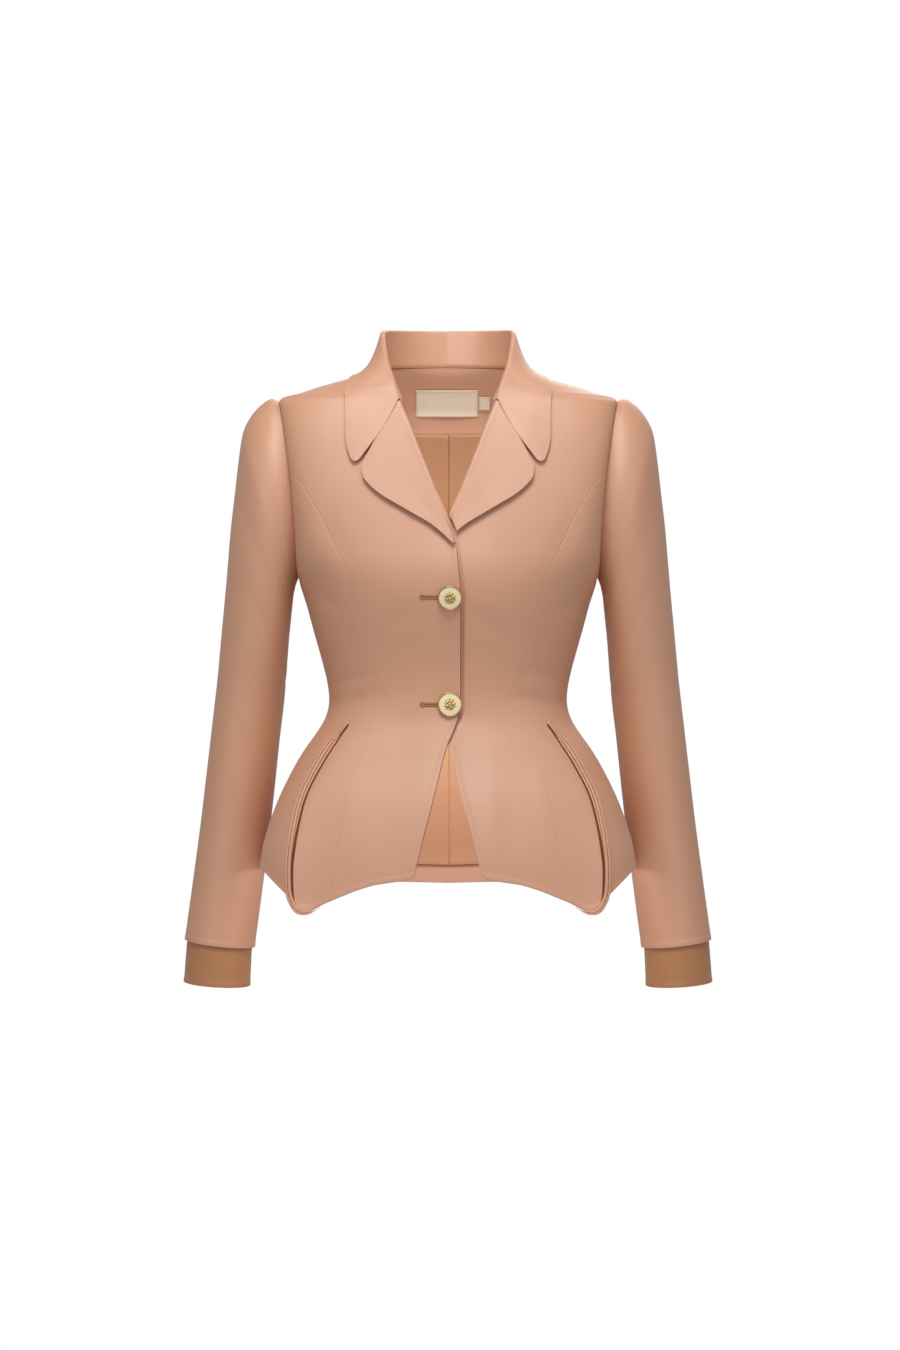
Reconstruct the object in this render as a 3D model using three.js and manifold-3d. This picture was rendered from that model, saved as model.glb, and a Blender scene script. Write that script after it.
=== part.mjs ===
// A woman's fitted peplum jacket in its worn, hollow form: panels, collar, lapels, sleeves, cuffs and buttons.
// Millimetres, +Z up. The front faces -Y and the wearer's right side is at -X.
// The origin lies between the two neck points, where the wearer's shoulders hold the jacket up.
import * as THREE from "three";
import { mergeVertices } from "three/addons/utils/BufferGeometryUtils.js";
import Module from "manifold-3d";

const wasm = await Module();
wasm.setup();

// Driving dimensions
const CLOTH = 1.8; // wall of the outer cloth
const LINING = 1.0; // wall of the lining and the neck facing
const SEAM_GAP = 0.4; // between two pieces that are sewn together
const LAP = 1.3; // how far the overlapping front is lifted, and the underlapping one lowered
const LAP_FADE_FROM = 14; // the lift is whole up to this distance past the centre line
const LAP_FADE_TO = 52;
const ARMHOLE_BOTTOM = -226; // height of the armpit
const ARMHOLE_TOP = -36; // height of the shoulder point
const ARMHOLE_HALF_DEPTH = 50;
const NECK_LEVEL = 79; // the ring level of the neck seam
const BUTTON_RADIUS = 12.6;
const BUTTON_HEIGHTS = { upper: -250.7, lower: -362.7 };
const BUTTON_X = 2.1;
const BUTTONHOLE_START_X = -28;
const BUTTONHOLE_HEIGHT = 3.8;
const LABEL = { width: 69, height: 29, centreX: -1, centreZ: -31 };
const SIZE_TAB = { width: 13, height: 15, centreX: 41, centreZ: -31 };

const COLOURS = {
  cloth: 0xc99f84,
  lining: 0xb98460,
  cuff: 0xab7a58,
  label: 0xe3d6b4,
  button: 0xead9ae,
};

const rad = THREE.MathUtils.degToRad;
const deg = THREE.MathUtils.radToDeg;
const lerp = THREE.MathUtils.lerp;
const clamp = THREE.MathUtils.clamp;
const smooth = (x) => THREE.MathUtils.smoothstep(x, 0, 1);

// A smooth curve without overshoot through a table's rows, read against its first column.
function table(columns, rows) {
  const keys = rows.map((row) => row[0]);
  const slopes = columns.map((_, c) => {
    const steps = keys.slice(1).map((key, i) => (rows[i + 1][c] - rows[i][c]) / (key - keys[i]));
    return keys.map((_, i) => {
      const before = steps[Math.max(i - 1, 0)];
      const after = steps[Math.min(i, steps.length - 1)];
      return before * after > 0 ? (2 * before * after) / (before + after) : 0;
    });
  });
  return (key) => {
    let i = 0;
    while (i < keys.length - 2 && key > keys[i + 1]) i += 1;
    const width = keys[i + 1] - keys[i];
    const t = clamp((key - keys[i]) / width, 0, 1);
    const read = {};
    columns.forEach((name, c) => {
      const [start, end] = [rows[i][c], rows[i + 1][c]];
      const [leave, arrive] = [slopes[c][i] * width, slopes[c][i + 1] * width];
      const bend = (t - 1) ** 2 * t * leave + t * t * (t - 1) * arrive;
      read[name] = start + (end - start) * t * t * (3 - 2 * t) + bend;
    });
    return read;
  };
}

// The torso's rings. level is the height up to the shoulder point, and the distance along the shoulder above it.
// square is the exponent of each ring's rounded outline, fin the swell at the hip crease, rise the nape's lift.
const RING = table(
  ["level", "z", "half", "front", "back", "squareFront", "squareBack", "fin", "rise"],
  [
    [-590, -590, 204, 146, 150, 4.3, 2.7, 9, 0],
    [-526, -526, 200, 141, 141, 4.1, 2.6, 8, 0],
    [-494, -494, 192.5, 135, 132, 3.8, 2.5, 7, 0],
    [-461, -461, 180.4, 126, 120, 3.5, 2.4, 5.5, 0],
    [-429, -429, 164.7, 113, 106, 3.1, 2.3, 3, 0],
    [-412, -412, 155.2, 107, 98, 2.9, 2.3, 1.5, 0],
    [-396, -396, 142.9, 101.5, 92, 2.6, 2.2, 0.5, 0],
    [-380, -380, 132.3, 97, 86.5, 2.4, 2.2, 0, 0],
    [-364, -364, 127.4, 94.5, 83, 2.3, 2.2, 0, 0],
    [-348, -348, 128.5, 95, 82.5, 2.3, 2.2, 0, 0],
    [-315, -315, 136.1, 101, 85, 2.3, 2.2, 0, 0],
    [-283, -283, 145.3, 111, 89.5, 2.3, 2.25, 0, 0],
    [-250, -250, 153.9, 120.5, 93.5, 2.35, 2.3, 0, 0],
    [-226, -226, 162, 123.5, 96.5, 2.4, 2.35, 0, 0],
    [-190, -190, 162.6, 117, 101, 2.5, 2.5, 0, 0],
    [-150, -150, 165, 108, 104, 2.6, 2.6, 0, 0],
    [-110, -110, 169, 98, 103.5, 2.6, 2.6, 0, 0],
    [-75, -75, 174, 88, 99, 2.5, 2.5, 0, 0],
    [-50, -50, 178.5, 79.5, 93, 2.4, 2.4, 0, 0],
    [-36, -36, 181.5, 74, 88, 2.3, 2.3, 0, 0],
    [-14, -28.5, 160, 70, 83, 2.25, 2.25, 0, 1],
    [8, -21.6, 139.3, 66.5, 78, 2.2, 2.2, 0, 2.5],
    [31, -15.1, 116.6, 62.5, 72, 2.15, 2.15, 0, 4.5],
    [55, -8.8, 93.2, 59.5, 65.5, 2.1, 2.1, 0, 6],
    [79, -1.7, 70, 57, 60, 2.05, 2.05, 0, 7.5],
  ],
);

// Seams and edges: the distance out from the centre line at each level.
const FRONT_EDGE = table(
  ["level", "out"],
  [
    [-541, 35],
    [-533, 33],
    [-500, 25],
    [-470, 17],
    [-440, 9.5],
    [-406, 0.5],
    [-392, -5.5],
    [-378, -10.5],
    [-357, -13.5],
    [-253, -13.5],
    [-222, -11.5],
    [-196, -8.3],
    [-169, -1],
    [-136, 13.2],
    [-106, 25],
    [-76, 36.8],
    [-46, 50],
    [-36, 53],
    [-14, 56.5],
    [8, 59],
    [31, 61],
    [50, 63],
    [65, 65.5],
    [74, 67.5],
    [79, 70],
  ],
);
const FRONT_PRINCESS = table(
  ["level", "out"],
  [
    [-570, 122.5],
    [-517, 115.5],
    [-491, 110.8],
    [-451, 103.5],
    [-421, 94.8],
    [-379, 80.6],
    [-362, 76.5],
    [-337, 77.4],
    [-300, 83.5],
    [-266, 91.6],
    [-233, 101.2],
    [-207, 113.6],
    [-190, 121.5],
    [-158, 137.5],
    [-133, 152.7],
    [-113, 170],
  ],
);
const HIP_CREASE = table(
  ["level", "out"],
  [
    [-575, 153],
    [-567, 157.5],
    [-554, 160.3],
    [-533, 161],
    [-508, 158.6],
    [-484, 154.5],
    [-460, 148.5],
    [-424, 131],
    [-394, 112],
    [-381, 104.5],
    [-337, 105.2],
    [-297, 112.3],
    [-270, 120.7],
    [-237, 134.8],
    [-210, 147],
    [-178, 163.5],
  ],
);
const BACK_PRINCESS = table(
  ["level", "out"],
  [
    [-570, 102],
    [-500, 92],
    [-430, 76],
    [-364, 61],
    [-300, 70],
    [-226, 96],
    [-180, 117],
    [-145, 147],
    [-118, 170],
  ],
);
// The hem's level at each distance out from the centre front.
const FRONT_HEM = table(
  ["out", "level"],
  [
    [33, -536],
    [38, -541.5],
    [53, -544.5],
    [75, -548],
    [95, -554],
    [111, -560.5],
    [122, -565],
    [135, -571],
    [146, -575],
    [152, -574],
    [158, -568],
  ],
);
const BACK_HEM = table(
  ["angle", "level"],
  [
    [0, -567],
    [25, -564.5],
    [50, -554],
    [72, -543],
    [90, -536],
  ],
);

// A face is one quarter of the torso: a side (-1 or 1), and the front or the back.
// angle runs from 0 at the centre line to 90 at the side.
function armholeHalfDepth(level) {
  const middle = (ARMHOLE_TOP + ARMHOLE_BOTTOM) / 2;
  const reach = (ARMHOLE_TOP - ARMHOLE_BOTTOM) / 2;
  return ARMHOLE_HALF_DEPTH * Math.sqrt(Math.max(0, 1 - ((level - middle) / reach) ** 2));
}

function angleAt(face, out, level) {
  const ring = RING(level);
  const square = face.back ? ring.squareBack : ring.squareFront;
  const across = clamp(out / ring.half, -1, 1);
  return deg(Math.atan2(across, (1 - Math.abs(across) ** square) ** (1 / square)));
}

const FIN_WIDTH = 17; // how far the hip crease's swell reaches to each side

function bodyPoint(face, angle, level) {
  const ring = RING(level);
  const square = face.back ? ring.squareBack : ring.squareFront;
  const depth = face.back ? ring.back : ring.front;
  const across = Math.sin(rad(angle));
  const along = Math.max(0, Math.cos(rad(angle)));
  const reach = (Math.abs(across) ** square + along ** square) ** (-1 / square);
  const open = armholeHalfDepth(level);
  const out = ring.half * reach * across;
  const offCrease = (out - HIP_CREASE(level).out - FIN_WIDTH / 4) / FIN_WIDTH;
  const swell = face.back ? 1 : 1 + (ring.fin / depth) * Math.exp(-offCrease * offCrease) * along;
  return new THREE.Vector3(
    face.side * out,
    (face.back ? 1 : -1) * (open + (depth - open) * reach * along * swell),
    ring.z + (face.back ? ring.rise * along : 0),
  );
}

const STEP = 0.5; // degrees and millimetres, for slopes

function bodyNormal(face, angle, level) {
  const at = clamp(angle, -90 + STEP, 90 - STEP);
  const level1 = Math.min(level + STEP, NECK_LEVEL);
  const across = bodyPoint(face, at + STEP, level).sub(bodyPoint(face, at - STEP, level));
  const up = bodyPoint(face, at, level1).sub(bodyPoint(face, at, level - STEP));
  return across.cross(up).normalize().multiplyScalar(face.side * (face.back ? -1 : 1));
}

// The fronts overlap at the centre: the wearer's right one lies on top.
function lapLift(side, out) {
  const fade = 1 - smooth((out - LAP_FADE_FROM) / (LAP_FADE_TO - LAP_FADE_FROM));
  return (side < 0 ? LAP : -LAP) * fade;
}

function liftedPoint(face, angle, level, lift) {
  const point = bodyPoint(face, angle, level);
  const lap = face.back ? 0 : lapLift(face.side, face.side * point.x);
  return point.addScaledVector(bodyNormal(face, angle, level), lift + lap);
}

function frontPoint(side, out, level, lift) {
  const face = { side, back: false };
  return liftedPoint(face, angleAt(face, out, level), level, lift);
}

// A closed wall between an outer and an inner grid of points. A looped grid closes on itself across its rows.
// Each square is split along the shorter diagonal of its guide, so that layers with one guide follow each other.
function wall(outer, inner, { looped = false, guide = outer } = {}) {
  const rows = outer.length;
  const columns = outer[0].length;
  const points = [...outer.flat(), ...inner.flat()];
  const last = looped ? columns : columns - 1;
  const at = (layer, row, column) => (layer * rows + row) * columns + (column % columns);
  const faces = [];
  const turned = (row, column) => {
    const next = (column + 1) % columns;
    const rising = guide[row][column].distanceTo(guide[row + 1][next]);
    return guide[row][next].distanceTo(guide[row + 1][column]) < rising;
  };
  const quad = (a, b, c, d, turn = false) => {
    if (turn) faces.push(b, c, d, b, d, a);
    else faces.push(a, b, c, a, c, d);
  };
  for (let r = 0; r < rows - 1; r += 1) {
    for (let c = 0; c < last; c += 1) {
      const turn = turned(r, c);
      quad(at(0, r, c), at(0, r, c + 1), at(0, r + 1, c + 1), at(0, r + 1, c), turn);
      quad(at(1, r, c), at(1, r + 1, c), at(1, r + 1, c + 1), at(1, r, c + 1), turn);
    }
    if (!looped) {
      quad(at(0, r, 0), at(0, r + 1, 0), at(1, r + 1, 0), at(1, r, 0));
      quad(at(0, r, last), at(1, r, last), at(1, r + 1, last), at(0, r + 1, last));
    }
  }
  for (let c = 0; c < last; c += 1) {
    quad(at(0, 0, c), at(1, 0, c), at(1, 0, c + 1), at(0, 0, c + 1));
    const top = rows - 1;
    quad(at(0, top, c), at(0, top, c + 1), at(1, top, c + 1), at(1, top, c));
  }
  return closed(points, faces);
}

// A rod through a list of rings of points, with flat ends.
function rod(rings) {
  const sides = rings[0].length;
  const faces = [];
  for (let r = 0; r < rings.length - 1; r += 1) {
    for (let c = 0; c < sides; c += 1) {
      const [a, b] = [r * sides + c, r * sides + ((c + 1) % sides)];
      faces.push(a, b, b + sides, a, b + sides, a + sides);
    }
  }
  const end = (rings.length - 1) * sides;
  for (let c = 1; c < sides - 1; c += 1) faces.push(0, c + 1, c, end, end + c, end + c + 1);
  return closed(rings.flat(), faces);
}

function closed(points, faces) {
  let volume = 0;
  for (let i = 0; i < faces.length; i += 3) {
    const [a, b, c] = [points[faces[i]], points[faces[i + 1]], points[faces[i + 2]]];
    volume += a.dot(new THREE.Vector3().crossVectors(b, c));
  }
  if (volume < 0) faces.reverse();
  const geometry = new THREE.BufferGeometry().setFromPoints(points);
  geometry.setIndex(faces);
  return geometry;
}

// Outer and inner points of a piece of cloth from its (angle, level) grid, moved out by lift and drawn in from its seams.
function clothWall(face, grid, { thickness = CLOTH, lift = 0, gaps = [1, 1, 0, 1] }) {
  const [low, high] = [0, thickness].map((depth) =>
    grid.map((row) => row.map(([angle, level]) => liftedPoint(face, angle, level, lift - depth))),
  );
  drawIn(low, high, gaps);
  return wall(low, high, { guide: baseGrid(face, grid) });
}

const baseGrid = (face, grid) => grid.map((row) => row.map(([angle, level]) => bodyPoint(face, angle, level)));

// Moves the borders of two matching grids inwards by half a seam gap: gaps flags the left, right, bottom and top.
function drawIn(outer, inner, gaps) {
  const move = (r, c, r1, c1, flag) => {
    const step = outer[r1][c1].clone().sub(outer[r][c]).setLength((flag * SEAM_GAP) / 2);
    outer[r][c].add(step);
    inner[r][c].add(step);
  };
  const [rows, columns] = [outer.length, outer[0].length];
  for (let r = 0; r < rows; r += 1) {
    if (gaps[0]) move(r, 0, r, 1, gaps[0]);
    if (gaps[1]) move(r, columns - 1, r, columns - 2, gaps[1]);
  }
  for (let c = 0; c < columns; c += 1) {
    if (gaps[2]) move(0, c, 1, c, gaps[2]);
    if (gaps[3]) move(rows - 1, c, rows - 2, c, gaps[3]);
  }
}

// Straight-line reading of a table's [key, value] rows.
function reading(rows) {
  return (key) => {
    let i = 0;
    while (i < rows.length - 2 && key > rows[i + 1][0]) i += 1;
    const share = clamp((key - rows[i][0]) / (rows[i + 1][0] - rows[i][0]), 0, 1);
    return lerp(rows[i][1], rows[i + 1][1], share);
  };
}

// The level of each row of points along each seam. Two panels share their seam's rows, so their edges match.
const ROW_LEVELS = {
  centreFront: reading([
    [0, -537],
    [3, -500],
    [8, -410],
    [12, -345],
    [17, -250],
    [23, -145],
    [26, -75],
    [32, 79],
  ]),
  frontPrincess: reading([
    [0, -565],
    [3, -502],
    [8, -410],
    [12, -345],
    [17, -240],
    [20, -162],
    [21, -142],
    [22, -126],
    [23, -113],
    [26, -80],
    [29, -54],
    [32, -36],
  ]),
  hipCrease: reading([
    [0, -567],
    [3, -502],
    [8, -410],
    [12, -345],
    [17, -258],
    [20, -212],
    [22, -188],
    [23, -178],
  ]),
  side: reading([
    [0, -536],
    [3, -495],
    [8, -410],
    [12, -345],
    [17, -276],
    [23, -226],
  ]),
  backPrincess: reading([
    [0, -556],
    [3, -502],
    [8, -410],
    [12, -345],
    [17, -242],
    [20, -170],
    [21, -148],
    [22, -131],
    [23, -118],
    [26, -83],
    [29, -55],
    [32, -36],
  ]),
  centreBack: reading([
    [0, -567],
    [3, -505],
    [8, -410],
    [12, -345],
    [17, -235],
    [24, -65],
    [26, -28],
    [32, 79],
  ]),
};

// A panel's (angle, level) grid between two seams. bottom and top give its other edges, and fade out over some rows.
// lean gives, for each row, how much of the panel's turn is kept for its last columns.
function panelGrid({ left, right, leftLevels, rightLevels, bottom, top, rows, columns, ...rest }) {
  const { bottomFade = 5, topFade = 9, lean = () => 0 } = rest;
  const ends = (r) => [
    [left(leftLevels(r)), leftLevels(r)],
    [right(rightLevels(r)), rightLevels(r)],
  ];
  const between = ([a, b], s) => [lerp(a[0], b[0], s), lerp(a[1], b[1], s)];
  return Array.from({ length: rows + 1 }, (_, r) =>
    Array.from({ length: columns + 1 }, (_, c) => {
      const s = c / columns;
      const point = between(ends(r), s);
      const late = lean(r) * (s ** LEAN_POWER - s);
      point[0] += late * (ends(r)[1][0] - ends(r)[0][0]);
      const bend = (edge, row, fade) => {
        if (!edge || fade <= 0) return;
        const straight = between(ends(row), s);
        const wanted = edge(s);
        point[0] += (wanted[0] - straight[0]) * fade * fade;
        point[1] += (wanted[1] - straight[1]) * fade * fade;
      };
      bend(bottom, 0, 1 - r / bottomFade);
      bend(top, rows, 1 - (rows - r) / topFade);
      return point;
    }),
  );
}

const LEAN_POWER = 5;
const ARMHOLE_LEAN = reading([
  [22, 0],
  [23, 0.6],
  [25, 0.4],
  [29, 0.13],
  [32, 0],
]);
const PANEL_ROWS = 23; // from the hem to the armhole; the centre panels have nine more up to the neck
const TALL_ROWS = 32;
const seamAngle = (face, seam) => (level) => angleAt(face, seam(level).out, level);
const sideSeam = () => 90;
const armholeOr = (seam, top) => (level) => (level > top ? { out: RING(level).half } : seam(level));

function frontHemEdge(face, fromOut, toOut) {
  return (s) => {
    const out = lerp(fromOut, toOut, s);
    const level = FRONT_HEM(out).level;
    return [angleAt(face, out, level), level];
  };
}

// The centre-front panel, from the front edge and roll line to the princess seam and armhole.
function frontPanel(side) {
  const face = { side, back: false };
  const grid = panelGrid({
    left: seamAngle(face, FRONT_EDGE),
    right: seamAngle(face, armholeOr(FRONT_PRINCESS, -113.5)),
    leftLevels: ROW_LEVELS.centreFront,
    rightLevels: ROW_LEVELS.frontPrincess,
    bottom: frontHemEdge(face, 34.5, FRONT_PRINCESS(-565).out),
    rows: TALL_ROWS,
    columns: 8,
    lean: ARMHOLE_LEAN,
  });
  return clothWall(face, grid, { gaps: [0, 1, 0, 1] });
}

function sideFrontPanel(side) {
  const face = { side, back: false };
  const grid = panelGrid({
    left: seamAngle(face, FRONT_PRINCESS),
    right: seamAngle(face, HIP_CREASE),
    leftLevels: ROW_LEVELS.frontPrincess,
    rightLevels: ROW_LEVELS.hipCrease,
    bottom: frontHemEdge(face, FRONT_PRINCESS(-565).out, HIP_CREASE(-567).out),
    rows: PANEL_ROWS,
    columns: 4,
  });
  return clothWall(face, grid, {});
}

// An armhole's edge rises from the armpit as a curve, while its angle stays at the side.
const armholeEdge = (top) => (s) => [90, ARMHOLE_BOTTOM + (top - ARMHOLE_BOTTOM) * (1 - s) ** 2];

// The side panel's hem rises evenly with the distance out, as seen from this far in front.
const VIEW_DISTANCE = 3000;

function sideHemEdge(face) {
  const [low, high] = [ROW_LEVELS.hipCrease(0), ROW_LEVELS.side(0)];
  const from = angleAt(face, HIP_CREASE(low).out, low);
  const outAt = (angle) => {
    const point = bodyPoint(face, angle, (low + high) / 2);
    return (face.side * point.x) / (1 + point.y / VIEW_DISTANCE);
  };
  return (s) => {
    const angle = lerp(from, 90, s);
    const share = (outAt(angle) - outAt(from)) / (outAt(90) - outAt(from));
    return [angle, lerp(low, high, share)];
  };
}

function sidePanel(side) {
  const face = { side, back: false };
  const grid = panelGrid({
    left: seamAngle(face, HIP_CREASE),
    right: sideSeam,
    leftLevels: ROW_LEVELS.hipCrease,
    rightLevels: ROW_LEVELS.side,
    bottom: sideHemEdge(face),
    top: armholeEdge(-178),
    rows: PANEL_ROWS,
    columns: 5,
  });
  return clothWall(face, grid, {});
}

function backHemEdge(fromAngle, toAngle) {
  return (s) => {
    const angle = lerp(fromAngle, toAngle, s);
    return [angle, BACK_HEM(angle).level];
  };
}

function sideBackPanel(side) {
  const face = { side, back: true };
  const seam = seamAngle(face, BACK_PRINCESS);
  const grid = panelGrid({
    left: seam,
    right: sideSeam,
    leftLevels: ROW_LEVELS.backPrincess,
    rightLevels: ROW_LEVELS.side,
    bottom: backHemEdge(seam(-556), 90),
    top: armholeEdge(-118),
    rows: PANEL_ROWS,
    columns: 5,
  });
  return clothWall(face, grid, {});
}

const NECK_COLUMNS = 3; // of the back panel's top edge; the others lie along the shoulder seam
const BACK_COLUMNS = 7;

function backGrid(side) {
  const face = { side, back: true };
  const neckShare = NECK_COLUMNS / BACK_COLUMNS;
  return panelGrid({
    left: () => 0,
    right: seamAngle(face, armholeOr(BACK_PRINCESS, -118.5)),
    leftLevels: ROW_LEVELS.centreBack,
    rightLevels: ROW_LEVELS.backPrincess,
    bottom: backHemEdge(0, seamAngle(face, BACK_PRINCESS)(-556)),
    top: (s) =>
      s < neckShare
        ? [(90 * s) / neckShare, NECK_LEVEL]
        : [90, lerp(NECK_LEVEL, ARMHOLE_TOP, (s - neckShare) / (1 - neckShare))],
    rows: TALL_ROWS,
    columns: BACK_COLUMNS,
    topFade: 8,
    lean: ARMHOLE_LEAN,
  });
}

const backPanel = (side) => clothWall({ side, back: true }, backGrid(side), {});

// The sleeve's rings: its outer and inner line as seen from the front, and each ring's middle and half depth.
const SLEEVE = table(
  ["share", "outX", "outZ", "inX", "inZ", "midY", "deep"],
  [
    [0, 181.5, -36, 162, -226, 0, 50],
    [0.02, 190, -33.5, 163.4, -230, 1, 53],
    [0.045, 201, -39.5, 165, -235, 2, 55.5],
    [0.075, 213, -52.5, 166.4, -242, 4, 57],
    [0.11, 221.5, -70, 167.6, -250, 6, 57.5],
    [0.16, 226.5, -100, 169.2, -263, 9, 57],
    [0.21, 230.5, -132, 170.8, -277, 13, 56],
    [0.27, 235.5, -172, 172.6, -292, 17, 54.5],
    [0.33, 239.3, -212, 174, -307, 22, 53],
    [0.39, 243.2, -252, 175.4, -323, 27, 51.5],
    [0.45, 247.2, -290, 177.1, -342, 32, 50],
    [0.52, 251.5, -332, 179.5, -364, 38, 49],
    [0.6, 257.4, -380, 183.9, -398, 43, 48],
    [0.7, 265, -442, 190, -454, 48, 47],
    [0.8, 272.2, -500, 196.5, -510, 51, 46],
    [0.9, 280.2, -560, 204, -569, 50, 45],
    [1, 288.4, -621, 212, -630, 47, 44.5],
  ],
);
const CUFF = table(
  ["share", "outX", "outZ", "inX", "inZ", "midY", "deep"],
  [
    [0, 283, -600, 212.6, -608, 48, 41.9],
    [0.35, 285.8, -621, 215, -629.5, 47, 41.6],
    [1, 289.4, -667, 217, -672, 45, 41.4],
  ],
);
const ARMHOLE_FADE = 0.12; // the share of the sleeve over which it leaves the armhole's own line

// angle is 0 on the outer line, 90 at the front and 180 on the inner line.
function tubePoint(guide, side, angle, share) {
  const ring = guide(share);
  const around = (1 + Math.cos(rad(angle))) / 2;
  const z = lerp(ring.inZ, ring.outZ, around);
  let out = lerp(ring.inX, ring.outX, around);
  if (guide === SLEEVE && share < ARMHOLE_FADE) {
    const seamZ = lerp(ARMHOLE_BOTTOM, ARMHOLE_TOP, around);
    const straight = lerp(SLEEVE(0).inX, SLEEVE(0).outX, around);
    out += (RING(seamZ).half - straight) * (1 - share / ARMHOLE_FADE) ** 2;
  }
  if (guide === SLEEVE) out += SEAM_GAP;
  return new THREE.Vector3(side * out, ring.midY - ring.deep * Math.sin(rad(angle)), z);
}

function tubeNormal(guide, side, angle, share) {
  const [low, high] = [Math.max(0, share - 0.003), Math.min(1, share + 0.003)];
  const around = tubePoint(guide, side, angle + 1, share).sub(tubePoint(guide, side, angle - 1, share));
  const along = tubePoint(guide, side, angle, high).sub(tubePoint(guide, side, angle, low));
  return around.cross(along).normalize().multiplyScalar(side);
}

const SLEEVE_SHARES = [
  0, 0.01, 0.022, 0.045, 0.075, 0.11, 0.15, 0.2, 0.27, 0.34, 0.41, 0.48, 0.56, 0.65, 0.74, 0.83, 0.92, 1,
];

function tubeWall(guide, side, angles, shares, thickness, looped) {
  const [outer, inner] = [0, thickness].map((depth) =>
    shares.map((share) =>
      angles.map((angle) =>
        tubePoint(guide, side, angle, share).addScaledVector(tubeNormal(guide, side, angle, share), -depth),
      ),
    ),
  );
  if (!looped) drawIn(outer, inner, [1, 1, 0, 0]);
  return wall(outer, inner, { looped });
}

const spread = (from, to, count) => Array.from({ length: count + 1 }, (_, i) => lerp(from, to, i / count));
const SLEEVE_FRONT_SEAM = 152; // angles round the sleeve
const SLEEVE_BACK_SEAM = 248;

const upperSleeve = (side) =>
  tubeWall(SLEEVE, side, spread(SLEEVE_BACK_SEAM - 360, SLEEVE_FRONT_SEAM, 14), SLEEVE_SHARES, CLOTH, false);
const underSleeve = (side) =>
  tubeWall(SLEEVE, side, spread(SLEEVE_FRONT_SEAM, SLEEVE_BACK_SEAM, 5), SLEEVE_SHARES, CLOTH, false);
const cuff = (side) => tubeWall(CUFF, side, spread(0, 345, 23), [0, 0.35, 0.7, 1], CLOTH, true);

// The collar, from the centre back (0) to its front end (1): where its neck seam, fold and outer edge lie.
// A seam or edge on the back is given by its angle, and one on the front by its distance out.
const COLLAR = table(
  ["share", "seamAngle", "seamLevel", "foldX", "foldY", "foldZ", "edgeOut", "edgeLevel"],
  [
    [0, 0, 79, 0, 64.5, 45, 0, 46],
    [0.15, 27, 79, 29.5, 58.5, 44.6, 40, 45.5],
    [0.3, 50, 79, 54, 41, 43, 73, 46],
    [0.42, 72, 79, 66, 18, 40.5, 90.5, 49.5],
    [0.52, 90, 79, 69.2, -2, 36.5, 99, 48.7],
    [0.62, 64, 73, 68.2, -19, 25.5, 104.8, 22],
    [0.72, 52, 58, 65.8, -36, 11, 107.3, -4],
    [0.82, 46, 22, 62, -51, -7, 108, -42],
    [0.92, 44, -22, 55, -68, -26, 107, -84],
    [1, 38, -43, 50, -78.5, -42.5, 97.5, -112.5],
  ],
);
// From the body's surface to the middle of the collar's layer: it lies closest at the shoulder.
const COLLAR_LIFT = table(
  ["share", "lift"],
  [
    [0, 3.4],
    [0.35, 2.8],
    [0.52, 2.2],
    [0.65, 2.8],
    [0.8, 3.7],
    [1, 3.7],
  ],
);
const SHOULDER_SHARE = 0.52; // where the collar passes the shoulder seam
const FOLD_WIDTH = 3.4; // across the two layers at the fold, from middle to middle
const END_BOW = 3.2; // how far the collar's front end bends down along the gorge
const END_BOW_FROM = 0.85;
const COLLAR_CLOTH = 2.0;
const STAND_RISE = 0.5; // over the back neck seam
const STAND_INSET = 2.8; // from the fronts' edge to the middle of the stand

function collarGuide(share) {
  const row = COLLAR(share);
  const back = share < SHOULDER_SHARE;
  const face = { side: -1, back };
  const seamAngleHere = back ? row.seamAngle : angleAt(face, FRONT_EDGE(row.seamLevel).out, row.seamLevel);
  const edgeAngle = angleAt(face, row.edgeOut, row.edgeLevel);
  return {
    face,
    seam: [seamAngleHere, row.seamLevel],
    edge: [edgeAngle, row.edgeLevel],
    fold: new THREE.Vector3(-row.foldX, row.foldY, row.foldZ),
  };
}

// The middle line across the collar at one share: up the stand, over the fold, and down the fall to the edge.
const STAND_STEPS = [0, 0.5, 1];
const FOLD_ANGLES = [45, 90, 135];
const FALL_STEPS = [0, 0.14, 0.3, 0.5, 0.75, 1];
const FALL_HOLLOW = 2.7; // how soon the fall drops from the fold to the shoulder

// The stand starts inside the neckline, clear of the panels' top edges.
function collarStart(face, [angle, level]) {
  if (face.back || angle > 80) {
    const seam = bodyPoint(face, angle, level);
    const start = seam.clone().addScaledVector(bodyNormal(face, angle, level), -1);
    return start.setZ(seam.z + STAND_RISE);
  }
  const inner = angleAt(face, FRONT_EDGE(level).out - STAND_INSET, level);
  return liftedPoint(face, inner, level, -0.6);
}

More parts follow.
